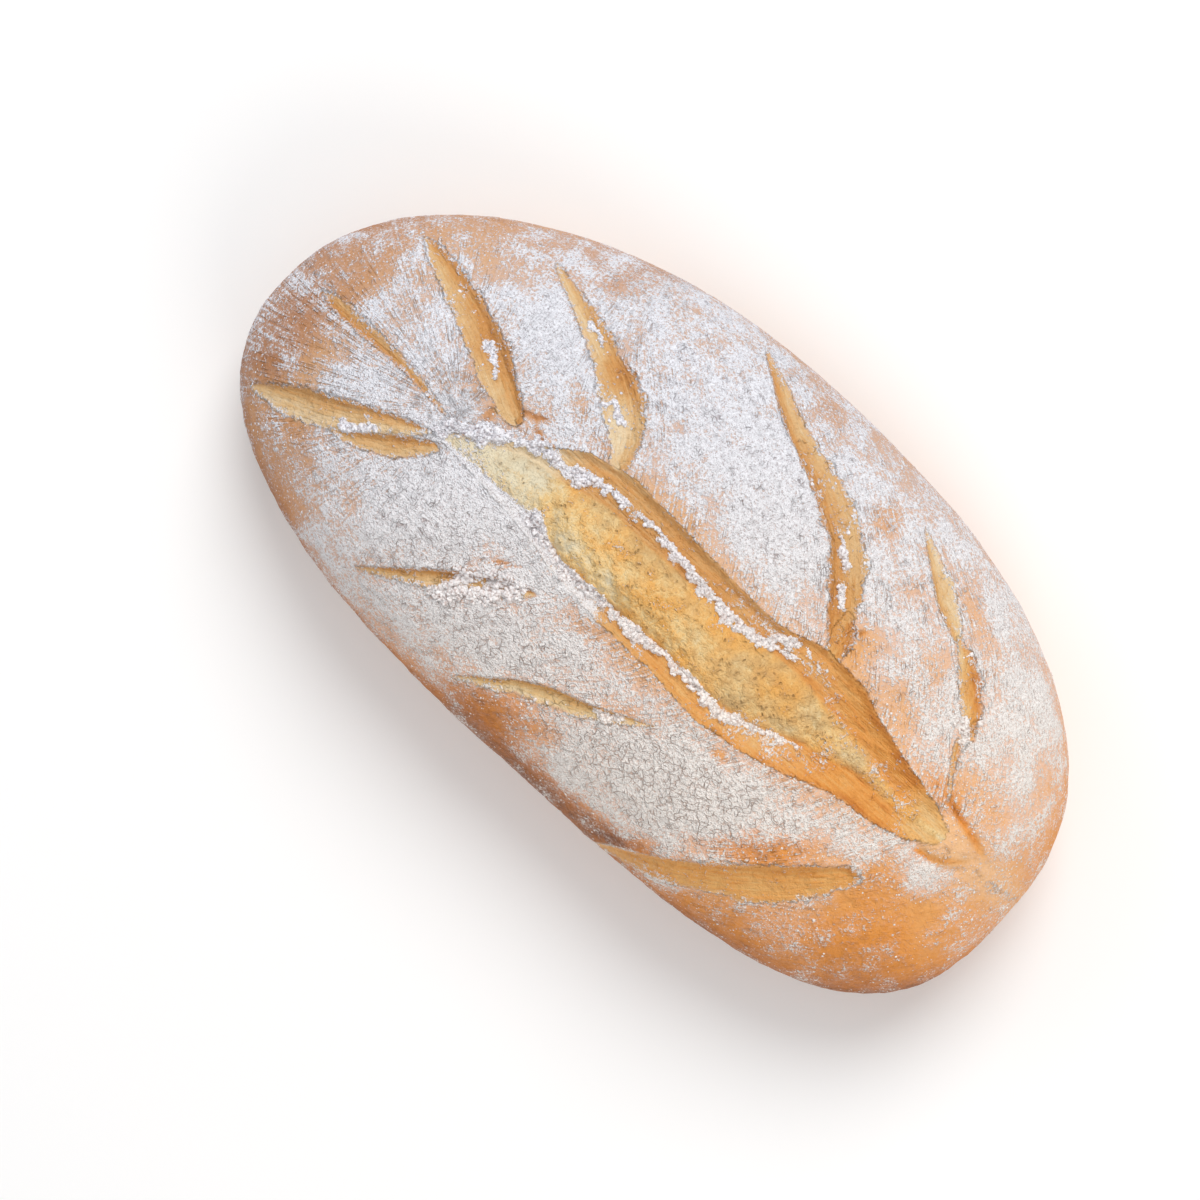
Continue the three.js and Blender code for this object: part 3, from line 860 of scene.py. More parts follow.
    def fold_crumb(self):
        """Lumps and folds of the crumb, its greyer places and greyer upper side, and the strings of
        the torn bands.
        """
        x, y = self.x, self.y
        in_crumb = smooth(0, 2, self.crumb_in)
        grey = mix(0.16, 0.36, smooth(-50, -36, x))
        grey += 0.36 * np.clip((y + 1) / 8, -1, 1) * smooth(25, 5, x) * smooth(-48, -34, x)
        grey += 0.08 * smooth(22, 40, x) + spotted(x, y, GREY_SPOTS)
        self.bake = np.where(self.crumb_in > -1, grey, self.bake)
        crumb_lumps = 0.7 * lumps(self.base, 7, 5) + 0.6 * lumps(self.base, 2.6, 6)
        self.height += in_crumb * crumb_lumps * self.relief
        for path, half_width, depth in FOLDS:
            fold = groove(path, half_width, 0.25, x, y + 0.6 * self.middling)
            self.height -= depth * fold * (self.slash_in > 0)
        stringy = smooth(0, 1.5, self.torn) * (1 - in_crumb)
        strings = lumps(self.line_places(along=7), 1.4, 7, 2)
        self.height += 0.22 * self.relief * stringy * strings

    def tie_knot(self):
        """The knot at the blunt end, pale and nearly bare."""
        self.height += knot_relief(self.x, self.y) * self.on_top
        pale = 1 - smooth(0.9, 1.25, out_of_knot(self.x, self.y))
        pale = np.maximum(pale, spotted(self.x, self.y, KNOT_TAIL)) * self.on_top
        self.bake = mix(self.bake, 0.14, pale)
        self.flour = mix(self.flour, 0.16, pale)

    def split_crust(self):
        """Splits, dark at their bottom and free of flour."""
        bent_x, bent_y = self.x + 0.5 * self.small, self.y + 0.7 * self.middling
        for path, half_width, depth in SPLITS:
            split = groove(path, half_width, 0.3, bent_x, bent_y)
            self.height -= depth * split
            self.flour -= 0.5 * split
            self.bake += 0.3 * split

    def stretch_crust(self):
        """Stretch marks beside the cuts and over the fan, and crust rubbed thin by the slash."""
        x, y = self.x, self.y
        fanned = self.in_fan * smooth(55, 25, self.away_y) * mix(0.75, 0.15, smooth(-12, 2, y))
        self.stretched = np.clip(0.32 + self.near_cut * 0.7 + fanned, 0, 1)
        self.stretched *= self.on_top * (1 - smooth(-0.5, 0.5, self.torn))
        marks = lumps(self.line_places(1.6, 9), 1.0, 8, 2)
        self.height += 0.26 * self.relief * self.stretched * marks

        beside = np.exp(-((np.clip(-self.slash_in, 0, None) / 4.5) ** 2)) * self.at["open"]
        rubbed = np.where(y > 0, smooth(-34, -20, x), smooth(-12, 2, x)) * smooth(112, 96, x)
        self.flour -= 0.2 * beside * rubbed * (1 + self.middling)

    def settle_flour(self):
        """Flour in the torn dough: little in the cuts, more on the slash's pale end and lip."""
        x, in_slash = self.x, self.slash_in > 0
        in_cuts = mix(0.5, 0.03, smooth(-0.4, 2.4, self.torn))
        flour = np.where(self.torn > -0.2, np.where(in_slash, 0.0, in_cuts), self.flour)
        pale_end = smooth(-50, -72, x)
        flour = np.where(in_slash, mix(flour, 0.55, pale_end), flour)
        low_lip = smooth(0, -12, x) * smooth(2.0, -1.0, self.crumb_in)
        low_lip *= self.y < self.at["crumb_low"] + 2
        flour = np.where(self.slash_in > -1, mix(flour, 0.95, low_lip), flour)
        in_valley = smooth(66, 74, x) * (1 - smooth(98, 104, x)) * smooth(0, 2, self.crumb_in)
        flour = np.where(in_slash, mix(flour, 0.3, in_valley), flour)
        flour = np.where(self.crumb_in > 1, flour * 0.75, flour)
        flecked = flour + 0.42 * spotted(x, self.y, SLASH_FLECKS)
        self.flour = np.where(in_slash, flecked, flour)

    def heap_flour(self):
        """Ridges of flour pushed up beside the slash, with stray flour and clumps on them."""
        small, fine = self.small, self.fine
        bent_x = self.x + 0.9 * small
        bent_y = self.y + 1.5 * self.middling + 0.5 * small
        for path, half_width, tall in FLOUR_RIDGES:
            distance, share = near_path(path, bent_x, bent_y)
            lumpy = half_width * (0.9 + 0.9 * self.middling + 0.8 * small + 0.5 * fine)
            stray = np.exp(-((distance / (half_width + 1.6)) ** 2)) * smooth(0, 0.8, small + fine)
            self.flour = np.maximum(self.flour, 0.62 * stray * (self.torn > 0))
            taper = smooth(-0.05, 0.12, share) * (1 - smooth(0.88, 1.05, share))
            heap = taper * (1 - smooth(0.55, 1.15, distance / np.maximum(lumpy, 0.15)))
            self.height += tall * heap * (0.55 + 0.45 * small + 0.45 * fine)
            self.clump = np.maximum(self.clump, heap)
            self.flour = np.maximum(self.flour, heap * 1.3)
        self.clump = np.clip(self.clump, 0, 1) * self.on_top
        self.height += 0.35 * self.clump * np.clip(small + fine, -0.3, 1.2)
        self.height += 0.1 * self.relief * smooth(0.6, 1.1, self.flour) * small
        self.flour = np.maximum(self.flour, self.clump)

    def points(self):
        """The finished places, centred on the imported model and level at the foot."""
        points = self.base + self.normals * self.height[:, None]
        points[:, 0] += self.move_x
        points[:, 1] += self.move_y
        points[:, 2] = np.where(self.z < 0.01, 0, np.maximum(points[:, 2], 0))
        middle = (points.min(0) + points.max(0)) / 2
        points[:, :2] += ((CAD_LOW + CAD_HIGH) / 2 - middle)[:2]
        return points

    def fields(self):
        """What the finishes read, by name."""
        warm = smooth(-WARM_REACH, WARM_REACH, WARM_WAY[0] * self.x + WARM_WAY[1] * self.y)
        crackle = np.clip(spotted(self.x, self.y, CRACKED_SPOTS), 0, 1)
        return {
            "flour": self.flour,
            "bake": self.bake,
            "torn_mm": np.clip(self.torn, OUTSIDE, DEEPEST),
            "crumb_mm": np.clip(self.crumb_in, OUTSIDE, DEEPEST) * self.on_top,
            "glow": self.glow,
            "clump": self.clump,
            "coarse": np.clip(self.coarse, 0, 1),
            "warmth": warm * WARM_MOST,
            "wrinkle": self.stretched,
            "crackle": crackle * self.on_top,
            "on_top": self.on_top,
            "broad": self.broad,
            "middling": self.middling,
        }


# ---- finishes --------------------------------------------------------------------------------

# Display colours by depth of tone, as (place, colour) stops: skin by how far it is baked, torn
# dough and crumb by how deep they glow, and torn dough at the round end, which is tanned.
SKIN_COLOURS = [
    (0.0, (244, 200, 154)),
    (0.3, (236, 172, 104)),
    (0.55, (230, 148, 62)),
    (0.8, (190, 114, 48)),
    (1.0, (122, 70, 38)),
]
DOUGH_COLOURS = [
    (0.0, (234, 216, 180)),
    (0.25, (230, 194, 138)),
    (0.5, (230, 176, 106)),
    (0.75, (226, 154, 74)),
    (1.0, (196, 116, 44)),
]
CRUMB_COLOURS = [
    (0.0, (230, 218, 188)),
    (0.3, (238, 204, 144)),
    (0.55, (236, 178, 98)),
    (0.9, (234, 158, 62)),
]
TAN_COLOURS = [
    (0.0, (232, 212, 178)),
    (0.3, (216, 178, 128)),
    (0.6, (204, 148, 86)),
    (1.0, (168, 110, 56)),
]
GREY_CRUMB = (200, 168, 120)
# Painted shade in the crumb's pores.
PORE_PAINTED_SHADE = (150, 112, 64)
# Painted shadow of the crust's lip along the brink of torn dough.
BRINK_PAINTED_SHADOW = (176, 106, 52)

SKIN_ROUGHNESS = 0.62
DOUGH_ROUGHNESS = 0.5
FLOUR_ROUGHNESS = 0.95
FLOOR_ROUGHNESS = 0.9
CRUST_SPECULAR = 0.3
FLOUR_SPECULAR = 0.2
CRUST_BUMP = 0.9


class Finish:
    """A procedural material in the making."""

    def __init__(self, name):
        self.material = bpy.data.materials.new(name)
        self.material.use_nodes = True
        tree = self.material.node_tree
        self.nodes, self.links = tree.nodes, tree.links
        self.shader = self.nodes["Principled BSDF"]
        self.places = self.nodes.new("ShaderNodeTexCoord").outputs["Object"]

    def put(self, socket, value):
        """Links a socket to another one, or sets it to a number or colour."""
        if isinstance(value, bpy.types.NodeSocket):
            self.links.new(value, socket)
        else:
            socket.default_value = value

    def math(self, operation, *values, clamp=False):
        """A sum or other arithmetic of numbers."""
        node = self.nodes.new("ShaderNodeMath")
        node.operation = operation
        node.use_clamp = clamp
        for socket, value in zip(node.inputs, values):
            self.put(socket, value)
        return node.outputs[0]

    def times(self, first, second):
        """The product of two numbers."""
        return self.math("MULTIPLY", first, second)

    def less(self, share):
        """What a share leaves of 1."""
        return self.math("SUBTRACT", 1.0, share)

    def total(self, *terms):
        """The sum of several (number or socket, factor) pairs."""
        result = 0.0
        for value, factor in terms:
            result = self.math("MULTIPLY_ADD", value, factor, result)
        return result

    def step(self, value, start, end):
        """A smooth step of a value."""
        node = self.nodes.new("ShaderNodeMapRange")
        node.interpolation_type = "SMOOTHSTEP"
        for name, part in (("Value", value), ("From Min", start), ("From Max", end)):
            self.put(node.inputs[name], part)
        return node.outputs["Result"]

    def field(self, name):
        """One of the fields that the mesh carries."""
        node = self.nodes.new("ShaderNodeAttribute")
        node.attribute_name = name
        return node.outputs["Vector" if name == "streak" else "Fac"]

    def noise(self, size, detail=2.0, roughness=0.55, at=None):
        """Noise with features of a size in millimetres, about -1 to 1."""
        node = self.nodes.new("ShaderNodeTexNoise")
        self.put(node.inputs["Vector"], self.places if at is None else at)
        node.inputs["Scale"].default_value = 1 / size / (MM if at is None else 1)
        node.inputs["Detail"].default_value = detail
        node.inputs["Roughness"].default_value = roughness
        return self.math("MULTIPLY_ADD", node.outputs["Fac"], 3.2, -1.6)

    def stretched(self, vector, factors):
        """A vector with its parts multiplied."""
        node = self.nodes.new("ShaderNodeVectorMath")
        node.operation = "MULTIPLY"
        self.put(node.inputs[0], vector)
        node.inputs[1].default_value = factors
        return node.outputs[0]

    def warped(self, size, amount):
        """Object places pushed about by noise, both in millimetres."""
        node = self.nodes.new("ShaderNodeTexNoise")
        self.put(node.inputs["Vector"], self.places)
        node.inputs["Scale"].default_value = 1 / size / MM
        node.inputs["Detail"].default_value = 0
        push = self.nodes.new("ShaderNodeVectorMath")
        push.operation = "MULTIPLY_ADD"
        self.put(push.inputs[0], node.outputs["Color"])
        push.inputs[1].default_value = (amount * MM,) * 3
        self.put(push.inputs[2], self.places)
        return push.outputs[0]

    def cells(self, size, places, feature="F1"):
        """Distance to the middle or the edge of cells of a size in millimetres."""
        node = self.nodes.new("ShaderNodeTexVoronoi")
        node.feature = feature
        self.put(node.inputs["Vector"], places)
        node.inputs["Scale"].default_value = 1 / size / MM
        return node.outputs["Distance"]

    def between(self, share, low, high):
        """A number between two."""
        node = self.nodes.new("ShaderNodeMix")
        for number, value in ((0, share), (2, low), (3, high)):
            self.put(node.inputs[number], value)
        return node.outputs[0]

    def mix(self, share, low, high):
        """A colour between two."""
        node = self.nodes.new("ShaderNodeMix")
        node.data_type = "RGBA"
        for number, value in ((0, share), (6, low), (7, high)):
            self.put(node.inputs[number], value)
        return node.outputs[2]

    def ramp(self, value, stops):
        """A colour by a value, from (place, display colour) stops."""
        node = self.nodes.new("ShaderNodeValToRGB")
        self.put(node.inputs["Fac"], value)
        elements = node.color_ramp.elements
        while len(elements) < len(stops):
            elements.new(0.5)
        for element, (place, colour) in zip(elements, stops):
            element.position = place
            element.color = linear(colour)
        return node.outputs["Color"]

    def bump(self, height, distance):
        """Small relief of a height, over a distance in millimetres."""
        node = self.nodes.new("ShaderNodeBump")
        node.inputs["Strength"].default_value = 1.0
        node.inputs["Distance"].default_value = distance * MM
        self.put(node.inputs["Height"], height)
        return node.outputs["Normal"]


class CrustFinish(Finish):
    """Browned crust under flour, with golden torn dough and open crumb in its cuts."""

    FIELDS = (
        "flour", "bake", "glow", "clump", "torn_mm", "crumb_mm",
        "warmth", "wrinkle", "crackle", "broad", "middling", "streak",
    )

    def __init__(self, colours):
        super().__init__("floured_crust")
        self.colours = colours
        self.at = {name: self.field(name) for name in self.FIELDS}
        streak = self.at["streak"]
        self.small, self.grain = self.noise(3.0, 1), self.noise(0.7, 1, 0.6)
        self.strings = self.noise(1.0, 2, 0.6, self.stretched(streak, (1.1, 0.1, 0)))
        self.marks = self.noise(1.0, 1, 0.6, self.stretched(streak, (0.6, 0.075, 0)))
        self.bent = self.warped(2.6, 3.4)
        torn = ((self.at["torn_mm"], 1), (self.small, 0.5), (self.grain, 0.6))
        crumb = ((self.at["crumb_mm"], 1), (self.at["middling"], 0.5), (self.small, 0.4))
        self.torn = self.step(self.total(*torn), -0.7, 0.8)
        self.crumb = self.step(self.total(*crumb), -0.4, 0.9)
        pore_cells = self.step(self.cells(2.1, self.bent), 0.32, 0.08)
        self.pores = self.times(pore_cells, self.step(self.small, -0.3, 0.5))
        self.powdery = self.noise(0.95, 1, 0.9)
        self.dusty = self.total((self.powdery, 0.5), (self.noise(0.4, 1, 0.8), 0.7))

    def uneven(self, value, broad, middling, small, grain, strings=0.0):
        """A value with noise of several sizes added."""
        terms = [(value, 1), (self.at["broad"], broad), (self.at["middling"], middling)]
        terms += [(self.small, small), (self.grain, grain), (self.strings, strings)]
        return self.total(*[term for term in terms if term[1]])

    def baked_skin(self):
        """The bare skin: golden to brown, and duller at the round end, whose darker brown rims are
        partly painted shade.
        """
        baked = self.uneven(self.at["bake"], 0.07, 0.06, 0.07, 0.06)
        dull = self.mix(self.step(baked, 0.2, 0.9), self.colours["rosy"], self.colours["brown"])
        share = self.math("MULTIPLY_ADD", self.at["warmth"], -0.85, 0.8, clamp=True)
        return self.mix(share, self.ramp(baked, SKIN_COLOURS), dull)

    def open_crumb(self):
        """The crumb, with grey places, and pores darkened by painted shade."""
        tone = self.uneven(self.at["glow"], 0.12, 0.22, 0.16, 0.12)
        grey = self.step(self.uneven(self.at["bake"], 0, -0.35, 0.3, 0.2), 0.15, 0.9)
        colour = self.ramp(tone, CRUMB_COLOURS)
        colour = self.mix(self.times(grey, 0.6), colour, linear(GREY_CRUMB))
        return self.mix(self.times(self.pores, 0.3), colour, linear(PORE_PAINTED_SHADE))

    def torn_dough(self):
        """Stringy torn dough round the crumb, tanned at the round end."""
        tone = self.uneven(self.at["glow"], 0, 0.1, 0.06, 0.05, 0.2)
        colour = self.mix(self.crumb, self.ramp(tone, DOUGH_COLOURS), self.open_crumb())
        tanned = self.times(self.less(self.crumb), self.step(self.at["warmth"], 0.9, 0.3))
        return self.mix(self.times(tanned, 0.85), colour, self.ramp(tone, TAN_COLOURS))

    def bare(self):
        """Skin and torn dough, with a painted shadow of the crust's lip darkening the brink between
        them.
        """
        colour = self.mix(self.torn, self.baked_skin(), self.torn_dough())
        off_brink = self.total((self.at["torn_mm"], 1), (self.small, 0.3), (-0.3, 1))
        deep = self.total((self.at["glow"], 1), (self.at["middling"], 0.3))
        brink = self.step(self.math("ABSOLUTE", off_brink), 1.1, 0.0)
        brink = self.times(brink, self.step(deep, 0.45, 1.0))
        return self.mix(self.times(brink, 0.35), colour, linear(BRINK_PAINTED_SHADOW))

    def cracks(self):
        """Cracks in thick flour."""
        edges = self.step(self.cells(2.9, self.bent, "DISTANCE_TO_EDGE"), 0.07, 0.0)
        often = self.total((self.at["crackle"], 0.8), (self.small, 0.8))
        return self.times(edges, self.step(often, 0.25, 0.9))

    def stretch_lines(self):
        """Thin lines where the crust has stretched."""
        thin = self.step(self.math("ABSOLUTE", self.marks), 0.14, 0.0)
        return self.times(self.times(thin, self.step(self.small, -0.3, 0.4)), self.at["wrinkle"])

    def lie_of_flour(self, cracks, lines):
        """How flour gathers, above 0, or misses, below 0."""
        return self.total(
            (self.powdery, 0.44),
            (self.small, 0.2),
            (self.at["middling"], 0.3),
            (self.at["broad"], 0.12),
            (self.times(self.strings, self.at["wrinkle"]), 0.42),
            (lines, -0.4),
            (cracks, -0.22),
        )

    def floured(self, cracks, lie, grains):
        """The bare colour under a film of flour and grains of it, with painted shade in the hollows
        between grains and in cracks.
        """
        flour, warmth, colours = self.at["flour"], self.at["warmth"], self.colours
        film = self.step(self.total((flour, 1), (lie, 0.35)), 0.0, 0.66)
        film = self.times(self.times(film, 0.84), self.less(self.times(self.torn, 0.85)))
        # Painted shade darkens the hollows between grains of flour and the cracks in it.
        hollow = self.math("MAXIMUM", self.step(self.dusty, 0.2, -1.05), self.times(cracks, 0.8))
        # The flour's cool-to-warm tint is partly painted light.
        powder = self.mix(warmth, colours["cool"], colours["warm"])
        powder = self.mix(hollow, powder, self.mix(warmth, colours["painted_shade"], colours["painted_shade_warm"]))
        paled = self.mix(warmth, colours["film"], colours["film_warm"])
        return self.mix(grains, self.mix(film, self.bare(), paled), powder)

    def finished(self):
        """The material, with its colour, roughness and small relief."""
        cracks, lines = self.cracks(), self.stretch_lines()
        lie = self.lie_of_flour(cracks, lines)
        grains = self.step(self.total((self.at["flour"], 1), (lie, 1)), 0.26, 0.7)
        self.put(self.shader.inputs["Base Color"], self.floured(cracks, lie, grains))
        bare_roughness = self.between(self.torn, SKIN_ROUGHNESS, DOUGH_ROUGHNESS)
        roughness = self.between(grains, bare_roughness, FLOUR_ROUGHNESS)
        self.put(self.shader.inputs["Roughness"], roughness)
        self.shader.inputs["Specular IOR Level"].default_value = CRUST_SPECULAR
        crumbly = self.total((self.pores, -0.8), (self.grain, 0.2), (self.small, 0.25))
        stringy = self.math("SUBTRACT", self.torn, self.crumb)
        relief = self.total(
            (self.times(self.powdery, self.math("MULTIPLY_ADD", grains, 0.32, 0.08)), 1),
            (grains, 0.12),
            (self.small, 0.4),
            (cracks, -0.5),
            (lines, -0.45),
            (self.dusty, 0.14),
            (self.times(self.strings, stringy), 0.25),
            (self.times(crumbly, self.crumb), 1),
            (self.times(self.at["clump"], self.small), 0.6),
        )
        self.put(self.shader.inputs["Normal"], self.bump(relief, CRUST_BUMP))
        return self.material


def powder_finish(colours):
    """Loose flour, darkened at random by painted shade, with a cool-to-warm tint that is partly
    painted light.
    """
    f = Finish("loose_flour")
    places = f.nodes.new("ShaderNodeSeparateXYZ")
    f.put(places.inputs[0], f.places)
    along = zip((places.outputs["X"], places.outputs["Y"]), WARM_WAY)
    warm = f.total(*[(place, way / MM) for place, way in along])
    warm = f.times(f.step(warm, -WARM_REACH, WARM_REACH), WARM_MOST)
    powder = f.mix(warm, colours["cool"], colours["warm"])
    painted_shade = f.mix(warm, colours["painted_shade"], colours["painted_shade_warm"])
    # Painted shade darkens the grains in places.
    powder = f.mix(f.step(f.noise(0.8, 0), 0.6, -1.6), powder, painted_shade)
    f.put(f.shader.inputs["Base Color"], powder)
    f.shader.inputs["Roughness"].default_value = FLOUR_ROUGHNESS
    f.shader.inputs["Specular IOR Level"].default_value = FLOUR_SPECULAR
    return f.material


def floor_finish(colour):
    """A matt, plain floor."""
    f = Finish("pale_floor")
    f.put(f.shader.inputs["Base Color"], colour)
    f.shader.inputs["Roughness"].default_value = FLOOR_ROUGHNESS
    return f.material


# ---- pieces ----------------------------------------------------------------------------------

# Clumps and grains of flour: seed, spread of sizes, height as a share of width, and how far
# their middle stands out of the crust as a share of their height.
CLUMP_SEED = 11
CLUMP_SPREAD = 0.5
CLUMP_FLATNESS = 0.7
CLUMP_RISE = 0.1
GRAIN_SEED = 23
GRAIN_SPREAD = 0.4
GRAIN_FLATNESS = 0.42
GRAIN_RISE = 0.2


def add_piece(mesh, name, material):
    """Makes a piece of a mesh that already lies in place."""
    mesh.materials.append(material)
    mesh.polygons.foreach_set("use_smooth", np.ones(len(mesh.polygons), bool))
    mesh.update()
    piece = bpy.data.objects.new(name, mesh)
    bpy.context.scene.collection.objects.link(piece)
    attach(piece, BODY)
    return piece


def write_fields(mesh, fields, streak):
    """Stores the fields on the mesh's points for its material."""
    for name, values in fields.items():
        mesh.attributes.new(name, "FLOAT", "POINT").data.foreach_set("value", values)
    layer = mesh.attributes.new("streak", "FLOAT_VECTOR", "POINT")
    layer.data.foreach_set("vector", streak.ravel())


def scatter_places(mesh, density, count, seed):
    """Seeded places on a mesh, by a density of its points, with normals and corner points."""
    mesh.calc_loop_triangles()
    corners = np.empty(len(mesh.loop_triangles) * 3, int)
    mesh.loop_triangles.foreach_get("vertices", corners)
    corners = corners.reshape(-1, 3)
    points = np.empty(len(mesh.vertices) * 3)
    mesh.vertices.foreach_get("co", points)
    points = points.reshape(-1, 3)
    a, b, c = (points[corners[:, i]] for i in range(3))
    normals = np.cross(b - a, c - a)
    areas = np.linalg.norm(normals, axis=1) / 2
    weights = areas * density[corners].mean(1)
    rng = np.random.default_rng(seed)
    chosen = rng.choice(len(corners), count, p=weights / weights.sum())
    u, v = rng.random((2, count, 1))
    over = u + v > 1
    u, v = np.where(over, 1 - u, u), np.where(over, 1 - v, v)
    places = a[chosen] + u * (b - a)[chosen] + v * (c - a)[chosen]
    return places, unit(normals[chosen]), corners[chosen], rng


def joined_copies(template, places, normals, sizes, rng, flatness, rise):
    """One mesh of many small copies of a template, each turned at random and flattened."""
    template.verts.index_update()
    shape = coordinates(template.verts)
    faces = np.array([[v.index for v in face.verts] for face in template.faces])
    count = len(places)
    helper = unit(rng.normal(size=(count, 3)))
    east = unit(np.cross(normals, helper))
    north = np.cross(normals, east)
    wide, long = sizes[:, None] * rng.uniform(0.7, 1.25, (2, count, 1))
    tall = sizes[:, None] * flatness * rng.uniform(0.7, 1.3, (count, 1))
    bumps = rng.uniform(0.75, 1.25, (count, len(shape), 1))
    local = shape[None] * bumps
    points = (
        places[:, None]
        + local[:, :, 0:1] * (east * wide)[:, None]
        + local[:, :, 1:2] * (north * long)[:, None]
        + (local[:, :, 2:3] + rise) * (normals * tall)[:, None]
    )
    all_faces = (faces[None] + (np.arange(count) * len(shape))[:, None, None]).reshape(-1, 3)
    mesh = bpy.data.meshes.new("joined_copies")
    mesh.from_pydata(points.reshape(-1, 3), [], all_faces)
    template.free()
    return mesh


def point_field(mesh, name):
    """A field of a mesh, as an array."""
    values = np.empty(len(mesh.vertices))
    mesh.attributes[name].data.foreach_get("value", values)
    return values


# ---- settings --------------------------------------------------------------------------------


def colour_setting(name, description, colour):
    """A colour in the panel."""
    return bpy.props.FloatVectorProperty(
        name=name,
        description=description,
        subtype="COLOR",
        size=3,
        min=0,
        max=1,
        default=linear(colour)[:3],
    )


class LoafSettings(bpy.types.PropertyGroup):
    """Sizes and amounts of the loaf's finish."""

    relief: bpy.props.FloatProperty(
        name="Crust relief",
        description="How strongly the small lumps of crust and crumb stand out",
        default=1.0,
        min=0.0,
        max=2.0,
        subtype="FACTOR",
    )
    clump_size: bpy.props.FloatProperty(
        name="Clump size",
        description="Typical half width of a clump of flour",
        default=0.25 * MM,
        min=0.1 * MM,
        max=2 * MM,
        precision=5,
        unit="LENGTH",
        subtype="DISTANCE",
    )
    clump_count: bpy.props.IntProperty(
        name="Clumps",
        description="Number of clumps of flour beside the slash and in the cuts",
        default=9800,
        min=100,
        max=9900,
    )
    grain_size: bpy.props.FloatProperty(
        name="Grain size",
        description="Typical half width of a loose grain of flour",
        default=0.18 * MM,
        min=0.05 * MM,
        max=1 * MM,
        precision=5,
        unit="LENGTH",
        subtype="DISTANCE",
    )
    grain_count: bpy.props.IntProperty(
        name="Grains",
        description="Number of loose grains of flour over the crust",
        default=23000,
        min=100,
        max=24900,
    )
    # The flour's cool-to-warm tint is partly painted light, and partly its own colour.
    flour_cool: colour_setting("Flour", "Flour at the round end", (241, 242, 249))
    flour_warm: colour_setting("Warm flour", "Flour at the blunt end", (250, 243, 235))
    # Painted shade for the hollows between grains of flour and for cracks, at the round end and at
    # the blunt end.
    flour_painted_shade: colour_setting("Painted flour shade", "Hollows between grains of flour", (158, 146, 152))
    flour_painted_shade_warm: colour_setting(
        "Warm painted flour shade", "Hollows between grains at the blunt end", (204, 172, 154)
    )
    flour_film_warm: colour_setting(
        "Warm flour film", "Paled crust at the blunt end", (240, 208, 194)
    )
    flour_film: colour_setting("Flour film", "Crust paled by a film of flour", (208, 182, 172))
    crust_rosy: colour_setting("Rosy crust", "Thin crust at the round end", (206, 164, 126))
    # The brown crust darkens the round end's rims, partly as painted shade.
    crust_brown: colour_setting("Brown crust", "Dark crust at the round end", (162, 108, 68))
    floor: colour_setting("Floor", "The plain floor under the loaf", (251, 251, 251))


def flour_colours(settings):
    """The flour's colours, with alpha, by the names that the finishes use."""
    names = {
        "cool": "flour_cool",
        "warm": "flour_warm",
        "painted_shade": "flour_painted_shade",
        "painted_shade_warm": "flour_painted_shade_warm",
        "film": "flour_film",
        "film_warm": "flour_film_warm",
        "rosy": "crust_rosy",
        "brown": "crust_brown",
    }
    return {key: (*getattr(settings, name), 1) for key, name in names.items()}


# ---- operators -------------------------------------------------------------------------------


class LOAF_OT_crust(bpy.types.Operator):
    """Build the loaf itself, from a refined ball of directions"""

    bl_idname = "loaf.crust"
    bl_label = "Crust"

    def execute(self, context):
        settings = context.scene.loaf_settings
        bm = refined_ball()
        skin = Skin(unit(coordinates(bm.verts)), settings.relief)
        skin.build()
        mesh = bpy.data.meshes.new("loaf_crust")
        bm.to_mesh(mesh)
        bm.free()
        mesh.vertices.foreach_set("co", (skin.points() * MM).ravel())
        write_fields(mesh, skin.fields(), skin.line_places())
        finish = CrustFinish(flour_colours(settings))
        piece = add_piece(mesh, "loaf_crust", finish.finished())
        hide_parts(NODE)
        return {"FINISHED"}


class LOAF_OT_clumps(bpy.types.Operator):
    """Heap small clumps of flour along the slash and in the cuts"""

    bl_idname = "loaf.clumps"
    bl_label = "Flour clumps"

    def execute(self, context):
        settings = context.scene.loaf_settings
        loaf = bpy.data.objects["loaf_crust"].data
        density = smooth(0.25, 0.9, point_field(loaf, "clump"))
        count = settings.clump_count
        places, normals, corners, rng = scatter_places(loaf, density, count, CLUMP_SEED)
        sizes = settings.clump_size * rng.lognormal(0, CLUMP_SPREAD, count)
        sizes *= 1 + 0.8 * point_field(loaf, "coarse")[corners].mean(1)
        template = bmesh.new()
        bmesh.ops.create_icosphere(template, subdivisions=1, radius=1)
        mesh = joined_copies(template, places, normals, sizes, rng, CLUMP_FLATNESS, CLUMP_RISE)
        mesh.name = "flour_clumps"
        add_piece(mesh, "flour_clumps", powder_finish(flour_colours(settings)))
        return {"FINISHED"}


